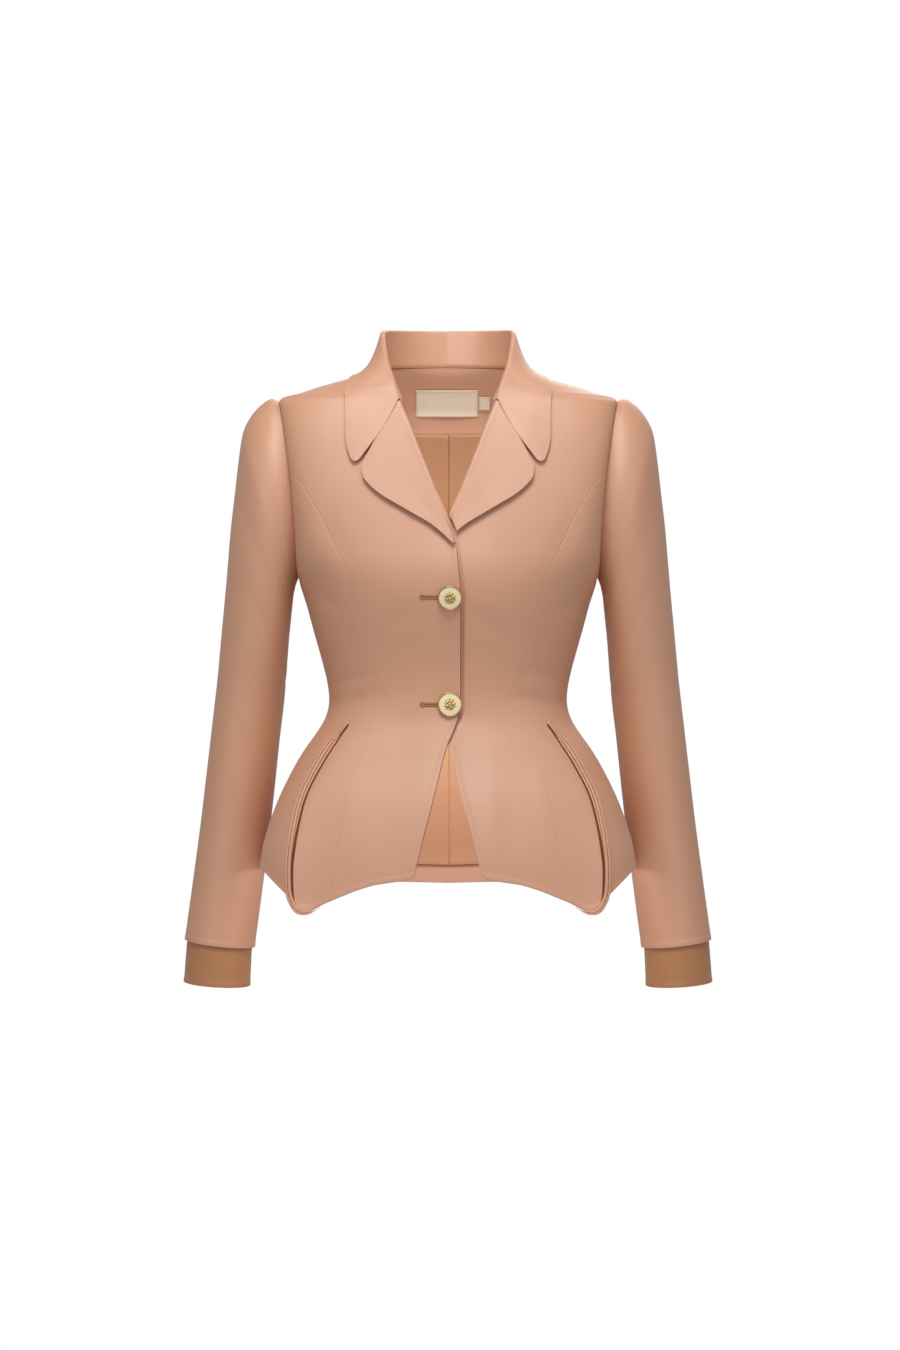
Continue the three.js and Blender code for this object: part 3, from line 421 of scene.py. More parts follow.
def capped_tube(rings, first, last):
    """Points and faces of a tube through rings of points, closed by a point at each end."""
    count, around = rings.shape[:2]
    points = np.concatenate([rings.reshape(-1, 3), [first, last]])
    faces = grid_faces(count, around, looped=True).tolist()
    end = (count - 1) * around
    for i in range(around):
        after = (i + 1) % around
        faces.append((after, i, len(points) - 2))
        faces.append((end + i, end + after, len(points) - 1))
    return points, faces


def run_along(points):
    """The distance along a line of points, from its start to each of them."""
    return np.concatenate([[0], np.cumsum(np.linalg.norm(np.diff(points, axis=0), axis=-1))])


def grid_of(across, down):
    """Two values at each place of a grid, such as its UV."""
    return np.stack(np.broadcast_arrays(across, down), axis=-1)


def square_means(grid):
    """The mean of a grid's values over each of its squares."""
    return 0.25 * (grid[:-1, :-1] + grid[1:, :-1] + grid[:-1, 1:] + grid[1:, 1:])


def row_means(grid):
    """The mean of a grid's values over the rows beside each square."""
    return 0.5 * (grid[:-1, :-1] + grid[1:, :-1])


def dress(obj, node_name):
    """Hangs a piece on the root and hides the part that it replaces."""
    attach(obj, "root")
    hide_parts(node_name)


# Materials


def principled(name, colour, roughness, sockets=()):
    material = bpy.data.materials.new(name)
    material.use_nodes = True
    tree = material.node_tree
    shader = tree.nodes["Principled BSDF"]
    for socket, value in (("Base Color", (*colour, 1)), ("Roughness", roughness), *sockets):
        shader.inputs[socket].default_value = value
    return material, tree, shader


def node(tree, kind, **settings):
    """A shader node. A setting is a number or colour of an input, an output to link to it, or a property."""
    made = tree.nodes.new(kind)
    for key, value in settings.items():
        if key not in made.inputs:
            setattr(made, key, value)
        elif isinstance(value, bpy.types.NodeSocket):
            tree.links.new(value, made.inputs[key])
        else:
            made.inputs[key].default_value = value
    return made


def math_node(tree, operation, values, clamped=False):
    made = node(tree, "ShaderNodeMath", operation=operation, use_clamp=clamped)
    for socket, value in zip(made.inputs, values):
        if isinstance(value, bpy.types.NodeSocket):
            tree.links.new(value, socket)
        else:
            socket.default_value = value
    return made.outputs[0]


def blend_tones(tree, shader, factor, dark, light):
    """Gives the surface a colour between two tones."""
    tones = node(tree, "ShaderNodeMix", data_type="RGBA")
    tones.inputs["A"].default_value = (*dark, 1)
    tones.inputs["B"].default_value = (*light, 1)
    tree.links.new(factor, tones.inputs["Factor"])
    tree.links.new(tones.outputs["Result"], shader.inputs["Base Color"])


def raise_surface(tree, shader, height, strength, distance):
    relief = node(tree, "ShaderNodeBump", Strength=strength, Distance=distance, Height=height)
    tree.links.new(relief.outputs["Normal"], shader.inputs["Normal"])


def scaled(colour, share):
    return tuple(min(1, c * share) for c in colour)


SHEEN_TINT = (1, 0.93, 0.86, 1)
TWILL_SCALE = 628.0  # of the wave texture for a pitch of one millimetre


def cloth_material(name, colour, roughness, sheen, weave, variation=0.035, bump=0.25, gloss=0.3, ior=1.5):
    """Woven cloth: slow and fine changes of tone, and a twill of the given pitch in millimetres."""
    sockets = [("Sheen Weight", sheen), ("Sheen Roughness", 0.45), ("Sheen Tint", SHEEN_TINT)]
    sockets += [("Specular IOR Level", gloss), ("IOR", ior)]
    material, tree, shader = principled(name, colour, roughness, sockets)
    place = node(tree, "ShaderNodeTexCoord").outputs
    slow = node(tree, "ShaderNodeTexNoise", Vector=place["Object"], Scale=9.0, Detail=3.0, Roughness=0.55)
    fine = node(tree, "ShaderNodeTexNoise", Vector=place["UV"], Scale=900.0, Detail=2.0, Roughness=0.6)
    twill = node(tree, "ShaderNodeTexWave", Vector=place["UV"], Scale=TWILL_SCALE / weave)
    twill.wave_type, twill.bands_direction = "BANDS", "DIAGONAL"
    twill.inputs["Distortion"].default_value = 1.5
    twill.inputs["Detail"].default_value = 1.0
    tone = math_node(tree, "MULTIPLY_ADD", (fine.outputs["Fac"], 0.5, slow.outputs["Fac"]))
    tone = math_node(tree, "SUBTRACT", (tone, 0.25), clamped=True)
    blend_tones(tree, shader, tone, scaled(colour, 1 - variation), scaled(colour, 1 + variation))
    height = math_node(tree, "ADD", (twill.outputs["Fac"], fine.outputs["Fac"]))
    raise_surface(tree, shader, height, bump, 0.00025)
    return material


def metal_material(name, colour, roughness):
    material, tree, shader = principled(name, colour, roughness, [("Metallic", 1.0)])
    place = node(tree, "ShaderNodeTexCoord").outputs
    grain = node(tree, "ShaderNodeTexNoise", Vector=place["Object"], Scale=700.0, Detail=3.0).outputs["Fac"]
    blend_tones(tree, shader, grain, scaled(colour, 0.8), colour)
    raise_surface(tree, shader, grain, 0.15, 0.0001)
    return material


def enamel_material(name, colour):
    sockets = [("Coat Weight", 0.4), ("Coat Roughness", 0.08)]
    material, tree, shader = principled(name, colour, 0.22, sockets)
    place = node(tree, "ShaderNodeTexCoord").outputs
    cloud = node(tree, "ShaderNodeTexNoise", Vector=place["Object"], Scale=160.0, Detail=2.0).outputs["Fac"]
    blend_tones(tree, shader, cloud, scaled(colour, 0.93), colour)
    return material


SUITING = cloth_material("suiting", (0.605, 0.298, 0.176), 0.5, 0.06, 0.9, gloss=1.0, ior=1.58)
# A dark copy of the suiting that paints shade into the hip crease, along the lapped front's edge and at the
# lining's lower edge.
SUITING_PAINTED_SHADE = cloth_material("suiting_painted_shade", (0.22, 0.085, 0.045), 0.8, 0.0, 0.9, gloss=0.1)
# The suiting lightened as painted light, for its facings and hems inside the hollow body where little light
# reaches.
SUITING_INSIDE_PAINTED_LIGHT = cloth_material("suiting_inside_painted_light", (0.7, 0.41, 0.275), 0.7, 0.2, 0.9)
LINING_CLOTH = cloth_material("lining_satin", (0.52, 0.28, 0.15), 0.42, 0.15, 0.5, variation=0.05, bump=0.12)
CUFF_CLOTH = cloth_material("cuff_satin", (0.43, 0.2, 0.09), 0.48, 0.15, 0.6, variation=0.05, bump=0.15)
LABEL_CLOTH = cloth_material("label_weave", (0.97, 0.9, 0.75), 0.6, 0.2, 0.7, variation=0.04, bump=0.5)
LABEL_THREAD = cloth_material("label_thread", (0.86, 0.76, 0.58), 0.6, 0.2, 0.5, variation=0.05, bump=0.5)
THREAD = cloth_material("buttonhole_thread", (0.34, 0.17, 0.065), 0.5, 0.2, 0.4, variation=0.08, bump=0.6)
GOLD = metal_material("gold", (0.66, 0.45, 0.16), 0.38)
PALE_GOLD = metal_material("pale_gold", (0.9, 0.62, 0.34), 0.4)
ENAMEL = enamel_material("cream_enamel", (0.88, 0.76, 0.5))
PATINA = enamel_material("patina", (0.62, 0.53, 0.29))


# Panels: each is a map from a row and a share across to an angle and a level on its face

PANEL_ROWS = 23
TALL_ROWS = 32
ROW_LEVELS = SimpleNamespace(
    centre_front=reading(
        [(0, -537), (3, -500), (8, -410), (12, -345), (17, -250), (23, -145), (26, -75), (32, 79)]
    ),
    front_princess=reading(
        [(0, -565), (3, -502), (8, -410), (12, -345), (17, -240), (20, -162), (21, -142), (22, -126)]
        + [(23, -113), (26, -80), (29, -54), (32, -36)]
    ),
    hip_crease=reading(
        [(0, -567), (3, -502), (8, -410), (12, -345), (17, -258), (20, -212), (22, -188), (23, -178)]
    ),
    side=reading([(0, -536), (3, -495), (8, -410), (12, -345), (17, -276), (23, -226)]),
    back_princess=reading(
        [(0, -556), (3, -502), (8, -410), (12, -345), (17, -242), (20, -170), (21, -148), (22, -131)]
        + [(23, -118), (26, -83), (29, -55), (32, -36)]
    ),
    centre_back=reading(
        [(0, -567), (3, -505), (8, -410), (12, -345), (17, -235), (24, -65), (26, -28), (32, 79)]
    ),
)


def steady_turn(face, seam, above):
    """The angle that a centre panel's inner columns follow above the level where its seam
    turns into the armhole."""

    def turn(level):
        start = angle_at(face, seam(above).out, above)
        rising = lerp(start, 90, (level - above) / (ARMHOLE_TOP - above))
        return np.where(level < above, seam_angle(face, seam)(level), rising)

    return turn


BOTTOM_FADE = 5


def panel_map(left, right, left_levels, right_levels, rows, bottom=None, top=None, top_fade=9, steady=None):
    """The map of a panel between two seams. bottom and top give its other edges, and fade out
    over some rows."""

    def straight(row, share):
        left_level, right_level = left_levels(row), right_levels(row)
        start, end = left(left_level), right(right_level)
        inner_end = end if steady is None else steady(right_level)
        angle = lerp(start, inner_end, share) + (end - inner_end) * share**8
        return grid_of(angle, lerp(left_level, right_level, share))

    def at(row, share):
        place = straight(row, share)
        for edge, end, fade in ((bottom, 0, 1 - row / BOTTOM_FADE), (top, rows, 1 - (rows - row) / top_fade)):
            if edge is not None:
                fade = np.maximum(fade, 0)[..., None] ** 2
                place = place + (edge(share) - straight(np.full_like(share, end), share)) * fade
        return place

    return at


def side_line(level):
    return np.full_like(level, 90.0)


def seam_angle(face, seam):
    return lambda level: angle_at(face, seam(level).out, level)


def armhole_or(seam, top):
    return lambda level: SimpleNamespace(out=np.where(level > top, ring_at(level).half, seam(level).out))


def front_hem_edge(face, from_out, to_out):
    def edge(share):
        out = lerp(from_out, to_out, share)
        level = FRONT_HEM(out).level
        return np.stack([angle_at(face, out, level), level], axis=-1)

    return edge


def back_hem_edge(from_angle, to_angle):
    def edge(share):
        angle = lerp(from_angle, to_angle, share)
        return np.stack([angle, BACK_HEM(angle).level], axis=-1)

    return edge


VIEW_DISTANCE = 3000


def side_hem_edge(face):
    """The side panel's hem rises evenly with the distance out, as seen from this far in front."""
    low, high = float(ROW_LEVELS.hip_crease(0)), float(ROW_LEVELS.side(0))
    start = float(angle_at(face, HIP_CREASE(low).out, low))

    def out_at(angle):
        point = body_point(face, angle, (low + high) / 2)
        return face.side * point[..., 0] / (1 + point[..., 1] / VIEW_DISTANCE)

    def edge(share):
        angle = lerp(start, 90, share)
        risen = (out_at(angle) - out_at(start)) / (out_at(90) - out_at(start))
        return np.stack([angle, lerp(low, high, risen)], axis=-1)

    return edge


def armhole_edge(top):
    def edge(share):
        level = ARMHOLE_BOTTOM + (top - ARMHOLE_BOTTOM) * (1 - share) ** 2
        return np.stack([np.full_like(share, 90), level], axis=-1)

    return edge


# How deep the lapel's roll is from the break to the gorge, and where the front's edge steps back under it
ROLL_RADIUS = table(["level", "radius"], [[-196, 0.95], [-176, 1.4], [-140, 2.1], [-47.5, 2.4]])
ROLL_FROM, ROLL_WHOLE = -196, -184
UNDER_ROLL = 1.1  # how much further back than the roll's radius the front's edge lies
GORGE_LEVEL = -47.5
GORGE_FADE = 30


def front_edge_under_roll(level):
    step = smooth((level - ROLL_FROM) / (ROLL_WHOLE - ROLL_FROM)) * (ROLL_RADIUS(level).radius + UNDER_ROLL)
    step = step * (1 - smooth((level - GORGE_LEVEL) / GORGE_FADE))
    return SimpleNamespace(out=FRONT_EDGE(level).out + step)


# The levels where the seams between panels end at the hem and at the armhole
PRINCESS_HEM = -565
CREASE_HEM = -567
BACK_PRINCESS_HEM = -556
PRINCESS_TOP = -113.5
CREASE_ARMHOLE = -178
BACK_PRINCESS_ARMHOLE = -118
BACK_PRINCESS_TOP = -118.5
FRONT_HEM_START = 34.5  # the distance out of the front's lower corner
STEADY_FRONT, STEADY_BACK = -140, -155  # above these levels the centre panels' columns run straight


def front_map(side):
    face = face_of(side, False)
    return panel_map(
        seam_angle(face, front_edge_under_roll),
        seam_angle(face, armhole_or(FRONT_PRINCESS, PRINCESS_TOP)),
        ROW_LEVELS.centre_front,
        ROW_LEVELS.front_princess,
        TALL_ROWS,
        bottom=front_hem_edge(face, FRONT_HEM_START, FRONT_PRINCESS(PRINCESS_HEM).out),
        steady=steady_turn(face, FRONT_PRINCESS, STEADY_FRONT),
    )


def side_front_map(side):
    face = face_of(side, False)
    return panel_map(
        seam_angle(face, FRONT_PRINCESS),
        seam_angle(face, HIP_CREASE),
        ROW_LEVELS.front_princess,
        ROW_LEVELS.hip_crease,
        PANEL_ROWS,
        bottom=front_hem_edge(face, FRONT_PRINCESS(PRINCESS_HEM).out, HIP_CREASE(CREASE_HEM).out),
    )


def side_map(side):
    face = face_of(side, False)
    return panel_map(
        seam_angle(face, HIP_CREASE),
        side_line,
        ROW_LEVELS.hip_crease,
        ROW_LEVELS.side,
        PANEL_ROWS,
        bottom=side_hem_edge(face),
        top=armhole_edge(CREASE_ARMHOLE),
    )


def side_back_map(side):
    face = face_of(side, True)
    seam = seam_angle(face, BACK_PRINCESS)
    return panel_map(
        seam,
        side_line,
        ROW_LEVELS.back_princess,
        ROW_LEVELS.side,
        PANEL_ROWS,
        bottom=back_hem_edge(seam(BACK_PRINCESS_HEM), 90),
        top=armhole_edge(BACK_PRINCESS_ARMHOLE),
    )


NECK_SHARE = 3 / 7  # of the back panel's top edge; the rest lies along the shoulder seam


def back_map(side):
    face = face_of(side, True)

    def top(share):
        on_neck = share < NECK_SHARE
        angle = np.where(on_neck, 90 * share / NECK_SHARE, 90)
        shoulder = lerp(NECK_LEVEL, ARMHOLE_TOP, (share - NECK_SHARE) / (1 - NECK_SHARE))
        return np.stack([angle, np.where(on_neck, NECK_LEVEL, shoulder)], axis=-1)

    return panel_map(
        np.zeros_like,
        seam_angle(face, armhole_or(BACK_PRINCESS, BACK_PRINCESS_TOP)),
        ROW_LEVELS.centre_back,
        ROW_LEVELS.back_princess,
        TALL_ROWS,
        bottom=back_hem_edge(0, seam_angle(face, BACK_PRINCESS)(BACK_PRINCESS_HEM)),
        top=top,
        top_fade=8,
        steady=steady_turn(face, BACK_PRINCESS, STEADY_BACK),
    )


# Fine grids: steps in from an edge, so that its seam or turned edge can be shaped
SEAM_STEPS = np.array([SEAM_GAP / 2, 0.3, 0.7, 1.3, 2.2, 3.5, 5.5, 8.5])
TURNED_STEPS = np.array([0, 0.15, 0.4, 0.75, 1.2, 2.5, 4.8, 5.6, 6.4, 8.5])
PLAIN_STEPS = np.array([0.0, 4.0])
STEPS = {"seam": SEAM_STEPS, "fold": SEAM_STEPS, "crease": SEAM_STEPS, "turned": TURNED_STEPS}
STEPS["plain"] = PLAIN_STEPS


def stations(length, low, high, middle):
    """Places along a line: fine steps in from each end and even ones between them."""
    scale = min(1, 0.8 * length / (low[-1] + high[-1]))
    inner = np.linspace(low[-1] * scale, length - high[-1] * scale, middle + 2)[1:-1]
    return np.concatenate([low * scale, inner, (length - high * scale)[::-1]])


def respace(grid, points, low, high, middle):
    """Re-spaces each row of a grid of values by the distance along its points, and adds as two more values
    how far each place is from the row's two ends."""
    steps = np.linalg.norm(np.diff(points, axis=1), axis=-1)
    run = np.concatenate([np.zeros((len(steps), 1)), np.cumsum(steps, axis=1)], axis=1)
    rows = []
    for values, distance in zip(grid, run):
        place = stations(distance[-1], low, high, middle)
        found = [np.interp(place, distance, column) for column in values.T]
        rows.append(np.stack([*found, place, distance[-1] - place], axis=-1))
    return np.stack(rows)


def fine_grid(coarse, point_at, edges, columns, tall):
    """Spaces a coarse grid of places anew across and along, and gives their two values and the distances
    to the left, right, bottom and top edge. edges names the kinds of those edges."""
    across = respace(coarse, point_at(coarse), STEPS[edges[0]], STEPS[edges[1]], columns).transpose(1, 0, 2)
    whole = respace(across, point_at(across), STEPS[edges[2]], STEPS[edges[3]], tall).transpose(1, 0, 2)
    first, second, *distances = np.moveaxis(whole, -1, 0)
    return first, second, distances


COARSE_STEPS = 8  # of a coarse grid in each row of a panel
COARSE_COLUMNS = 97


def fine_panel(face, at, rows, edges, columns, tall, from_row=0, shares=(0, 1)):
    steps = np.linspace(from_row, rows, (rows - from_row) * COARSE_STEPS + 1)
    row, share = np.meshgrid(steps, np.linspace(*shares, COARSE_COLUMNS), indexing="ij")
    angle, level, distances = fine_grid(
        at(row, share), lambda places: body_point(face, places[..., 0], places[..., 1]), edges, columns, tall
    )
    return SimpleNamespace(face=face, angle=angle, level=level, distances=distances, edges=edges)


SEAM_DEPTH = 0.32  # at the bust, where the cloth is pulled tight over the seams
SKIRT_SEAM_DEPTH = 0.05
TIGHT_FROM, TIGHT_FADE = -250, 70  # the level above which a seam deepens
SEAM_REACH = 2.0
CREASE_DEPTH = 5.4
CREASE_REACH = {"fold": 1.2, "crease": 3.2}  # the front's side of the hip crease turns in sharply
CREASE_TOP = -379  # above this level the cloth is smooth over the hip crease's seam
CREASE_FADE = 9
HEM_SHARE = 0.7  # of the crease's depth at the hem
HEM_SHARE_FROM, HEM_SHARE_FADE = -550, 25
EDGE_ROUND = 0.8  # how far the rounding of a turned edge reaches
EDGE_STEP = 0.3  # how much thicker the cloth is over a turned edge's allowance
EDGE_ALLOWANCE = (4.8, 6.4)
PRESS_DEPTH = 1.6  # of the dent that the right front's edge leaves in the left front
PRESS_WIDTH = 2.2
PRESS_OFFSET = 1.2
PRESS_BULGE = 0.7  # how much the right front's edge stands up
PRESS_REACH = 5
LAPPED_FROM, LAPPED_FADE = 7, 4  # how far past the centre line the fronts lap where the dent begins


def edge_shape(kind, distance, level=0):
    """How far the outer and the inner face move near an edge."""
    if kind == "seam":
        depth = lerp(SKIRT_SEAM_DEPTH, SEAM_DEPTH, smooth((level - TIGHT_FROM) / TIGHT_FADE))
        return -depth * (1 - smooth(distance / SEAM_REACH)) ** 1.5, 0
    if kind in CREASE_REACH:
        below = smooth((CREASE_TOP - level) / CREASE_FADE)
        reach = lerp(SEAM_REACH, CREASE_REACH[kind], below)
        whole = smooth((level - HEM_SHARE_FROM) / HEM_SHARE_FADE)
        depth = CREASE_DEPTH * below * lerp(HEM_SHARE, 1, whole)
        return -depth * (1 - smooth(distance / reach)) ** 1.5, 0
    if kind == "turned":
        reach = np.clip(1 - distance / EDGE_ROUND, 0, 1)
        rounding = EDGE_ROUND * (1 - np.sqrt(1 - reach**2))
        low, high = EDGE_ALLOWANCE
        step = EDGE_STEP * (1 - smooth((distance - low) / (high - low)))
        return step - rounding, rounding
    return 0, 0


def wall_lifts(fine, lift, level):
    """How far the outer and the inner face of a piece of cloth lie off its guide surface."""
    outer = np.zeros(fine.angle.shape) + lift
    inner = outer - CLOTH
    for kind, distance in zip(fine.edges, fine.distances):
        outer_move, inner_move = edge_shape(kind, distance, level)
        outer, inner = outer + outer_move, inner + inner_move
    return outer, inner


def panel_faces(fine, lift):
    outer, inner = wall_lifts(fine, lift, fine.level)
    inner = np.minimum(inner, outer - MIN_WALL)
    return tuple(lifted_point(fine.face, fine.angle, fine.level, amount) for amount in (outer, inner))


def front_overlap(fine):
    """The dent in the left front beside the right front's edge, and the edge's own swell."""
    line = -FRONT_EDGE(fine.level).out
    lapped = smooth((line - LAPPED_FROM) / LAPPED_FADE)
    if fine.face.side < 0:
        return PRESS_BULGE * lapped * np.exp(-((fine.distances[0] / PRESS_REACH) ** 2))
    out = body_point(fine.face, fine.angle, fine.level)[..., 0]
    return -PRESS_DEPTH * lapped * np.exp(-(((out - line - PRESS_OFFSET) / PRESS_WIDTH) ** 2))


def panel_uv(fine):
    return np.stack([fine.distances[0], fine.distances[2]], axis=-1)


FACING_WIDTH = 70  # of the front's own cloth turned in along its edge
HEM_TURNED = 34  # of a hem's cloth turned in
PANEL_CLOTHS = [SUITING, LINING_CLOTH, SUITING_INSIDE_PAINTED_LIGHT, SUITING_PAINTED_SHADE]
LINED, OWN_CLOTH_PAINTED_LIGHT, PAINTED_SHADE_SLOT = 1, 2, 3  # places in the list above; the last two are the suiting lightened with painted light and darkened with painted shade


def inside_slots(fine, is_front):
    """The lining's material over an inner face, and the suiting lightened as painted light on its facing and
    hem.
    """
    own_cloth_painted_light = square_means(fine.distances[2]) < HEM_TURNED
    if is_front:
        own_cloth_painted_light |= square_means(fine.distances[0]) < FACING_WIDTH
    return np.where(own_cloth_painted_light, OWN_CLOTH_PAINTED_LIGHT, LINED)


# How far in from an edge shade is painted into the cloth, in the hip crease and along the lapped front's edge
DARK_WIDTH = {"fold": 0.5, "crease": 2.0}
DARK_CREASE_TOP = CREASE_TOP - 4
DARK_EDGE_WIDTH = 0.7
DARK_EDGE_TOP = -203


def painted_shade_slots(fine):
    """The painted shade on a panel's outer face: a dark strip of cloth in the hip crease and beside the
    lapped front's edge.
    """
    level = square_means(fine.level)
    dark = np.zeros(level.shape, bool)
    for kind, distance in zip(fine.edges[:2], fine.distances[:2]):
        middle = 0.5 * (distance[:-1, :-1] + distance[:-1, 1:])
        if kind in DARK_WIDTH:
            dark |= (middle < DARK_WIDTH[kind]) & (level < DARK_CREASE_TOP)
        if kind == "turned" and fine.face.side < 0:
            dark |= (middle < DARK_EDGE_WIDTH) & (level < DARK_EDGE_TOP)
    return np.where(dark, PAINTED_SHADE_SLOT, 0)


def make_panel(name, fine, is_front):
    outer, inner = panel_faces(fine, front_overlap(fine) if is_front else 0.0)
    slots = inside_slots(fine, is_front)
    # The outer face takes the painted shade, and the inner face takes the lining and the suiting lightened as
    # painted light.
    obj = shell(f"{name}_cloth", outer, inner, PANEL_CLOTHS, panel_uv(fine), slots, painted_shade_slots(fine))
    dress(obj, name)


def make_panels():
    for hand, side in HANDS:
        front_columns = 44 if side < 0 else 90
        for name, back, panel, rows, seams, columns, tall in (
            ("front", False, front_map, TALL_ROWS, ("turned", "seam"), front_columns, 190),
            ("side_front", False, side_front_map, PANEL_ROWS, ("seam", "fold"), 20, 150),
            ("side", False, side_map, PANEL_ROWS, ("crease", "seam"), 26, 140),
            ("side_back", True, side_back_map, PANEL_ROWS, ("seam", "seam"), 30, 140),
            ("back", True, back_map, TALL_ROWS, ("seam", "seam"), 40, 190),
        ):
            edges = (*seams, "turned", "seam")
            fine = fine_panel(face_of(side, back), panel(side), rows, edges, columns, tall)
            make_panel(f"{name}_{hand}", fine, name == "front")


make_panels()


# Sleeves and cuffs

SLEEVE = table(
    ["share", "out_x", "out_z", "in_x", "in_z", "mid_y", "deep"],
    [
        [0, 181.5, -36, 162, -226, 0, 50],
        [0.02, 190, -33.5, 163.4, -230, 1, 53],
        [0.045, 201, -39.5, 165, -235, 2, 55.5],
        [0.075, 213, -52.5, 166.4, -242, 4, 57],
        [0.11, 221.5, -70, 167.6, -250, 6, 57.5],
        [0.16, 226.5, -100, 169.2, -263, 9, 57],
        [0.21, 230.5, -132, 170.8, -277, 13, 56],
        [0.27, 235.5, -172, 172.6, -292, 17, 54.5],
        [0.33, 239.3, -212, 174, -307, 22, 53],
        [0.39, 243.2, -252, 175.4, -323, 27, 51.5],
        [0.45, 247.2, -290, 177.1, -342, 32, 50],
        [0.52, 251.5, -332, 179.5, -364, 38, 49],
        [0.6, 257.4, -380, 183.9, -398, 43, 48],
        [0.7, 265, -442, 190, -454, 48, 47],
        [0.8, 272.2, -500, 196.5, -510, 51, 46],
        [0.9, 280.2, -560, 204, -569, 50, 45],
        [1, 288.4, -621, 212, -630, 47, 44.5],
    ],
)
CUFF = table(
    ["share", "out_x", "out_z", "in_x", "in_z", "mid_y", "deep"],
    [
        [0, 283, -600, 212.6, -608, 48, 41.9],
        [0.35, 285.8, -621, 215, -629.5, 47, 41.6],
        [1, 289.4, -667, 217, -672, 45, 41.4],
    ],
)
ARMHOLE_FADE = 0.12

# Soft folds of the sleeves: where round and along each lies, how it leans, and its size
SLEEVE_FOLDS = [
    # side, angle, share, lean, wide angle, wide share, depth
    (-1, 150, 0.4, 0.0012, 46, 0.014, -2.0),
    (-1, 165, 0.455, -0.0008, 40, 0.012, -1.6),
    (-1, 60, 0.43, 0.0014, 50, 0.02, -1.0),
    (-1, 110, 0.35, 0.0015, 36, 0.018, -1.1),
    (-1, 100, 0.53, -0.0012, 42, 0.02, -0.9),
    (-1, 235, 0.42, 0.001, 50, 0.02, -1.3),
    (-1, 290, 0.36, -0.001, 46, 0.03, -1.1),
    (-1, 200, 0.1, 0.0006, 40, 0.02, -1.5),
    (-1, 130, 0.14, 0.0016, 34, 0.02, -1.2),
    (1, 148, 0.41, 0.0011, 44, 0.013, -1.8),
    (1, 168, 0.47, -0.001, 42, 0.013, -1.7),
    (1, 66, 0.45, 0.0013, 48, 0.022, -0.9),
    (1, 112, 0.36, 0.0013, 38, 0.018, -1.2),
    (1, 96, 0.55, -0.0014, 40, 0.02, -1.0),
    (1, 240, 0.44, 0.0012, 48, 0.02, -1.4),
    (1, 285, 0.38, -0.0012, 44, 0.028, -1.0),
    (1, 204, 0.11, 0.0005, 42, 0.02, -1.4),
    (1, 126, 0.15, 0.0015, 32, 0.02, -1.1),
]


FRONT_FOLDS = 0.22  # the share of a fold's depth that is left on the sleeve's smooth front
FRONT_MIDDLE, FRONT_REACH, FRONT_FADE = 80, 145, 40  # where that front lies round the sleeve
TUBE_STEP = 0.003


def tube_point(guide, side, angle, share):
    """angle is 0 on the outer line, 90 at the front and 180 on the inner line."""
    ring = guide(share)
    around = (1 + np.cos(np.radians(angle))) / 2
    height = lerp(ring.in_z, ring.out_z, around)
    out = lerp(ring.in_x, ring.out_x, around)
    if guide is SLEEVE:
        seam_z = lerp(ARMHOLE_BOTTOM, ARMHOLE_TOP, around)
        straight = lerp(SLEEVE(0).in_x, SLEEVE(0).out_x, around)
        fade = np.maximum(0, 1 - share / ARMHOLE_FADE) ** 2
        out = out + (ring_at(seam_z).half - straight) * fade + 2 * SEAM_GAP
    deep = ring.mid_y - ring.deep * np.sin(np.radians(angle))
    return np.stack(np.broadcast_arrays(side * out, deep, height), axis=-1)


def tube_normal(guide, side, angle, share):
    low, high = np.maximum(0, share - TUBE_STEP), np.minimum(1, share + TUBE_STEP)
    around = tube_point(guide, side, angle + 1, share) - tube_point(guide, side, angle - 1, share)
    along = tube_point(guide, side, angle, high) - tube_point(guide, side, angle, low)
    return unit(np.cross(around, along)) * side


def sleeve_folds(side, angle, share):
    lift = np.zeros(np.broadcast(angle, share).shape)
    for fold_side, at_angle, at_share, lean, wide_angle, wide_share, depth in SLEEVE_FOLDS:
        if fold_side != side:
            continue
        off_angle = (angle - at_angle + 180) % 360 - 180
        off_share = share - at_share - lean * off_angle
        lift = lift + depth * np.exp(-((off_angle / wide_angle) ** 2) - (off_share / wide_share) ** 2)
    on_front = smooth((FRONT_REACH - np.abs(angle - FRONT_MIDDLE)) / FRONT_FADE)
    return lift * lerp(1, FRONT_FOLDS, on_front)


def fine_tube(guide, side, from_angle, to_angle, edges, columns, tall):
    share, angle = np.meshgrid(np.linspace(0, 1, 241), np.linspace(from_angle, to_angle, 181), indexing="ij")
    angle, share, distances = fine_grid(
        np.stack([angle, share], axis=-1),
        lambda places: tube_point(guide, side, places[..., 0], places[..., 1]),
        edges,
        columns,
        tall,
    )
    return SimpleNamespace(guide=guide, side=side, angle=angle, share=share, distances=distances, edges=edges)


def tube_faces(fine):
    place = (fine.guide, fine.side, fine.angle, fine.share)
    folds = sleeve_folds(*place[1:]) if fine.guide is SLEEVE else 0
    points, normal = tube_point(*place), tube_normal(*place)
    return tuple(points + normal * (amount + folds)[..., None] for amount in wall_lifts(fine, 0.0, 0))


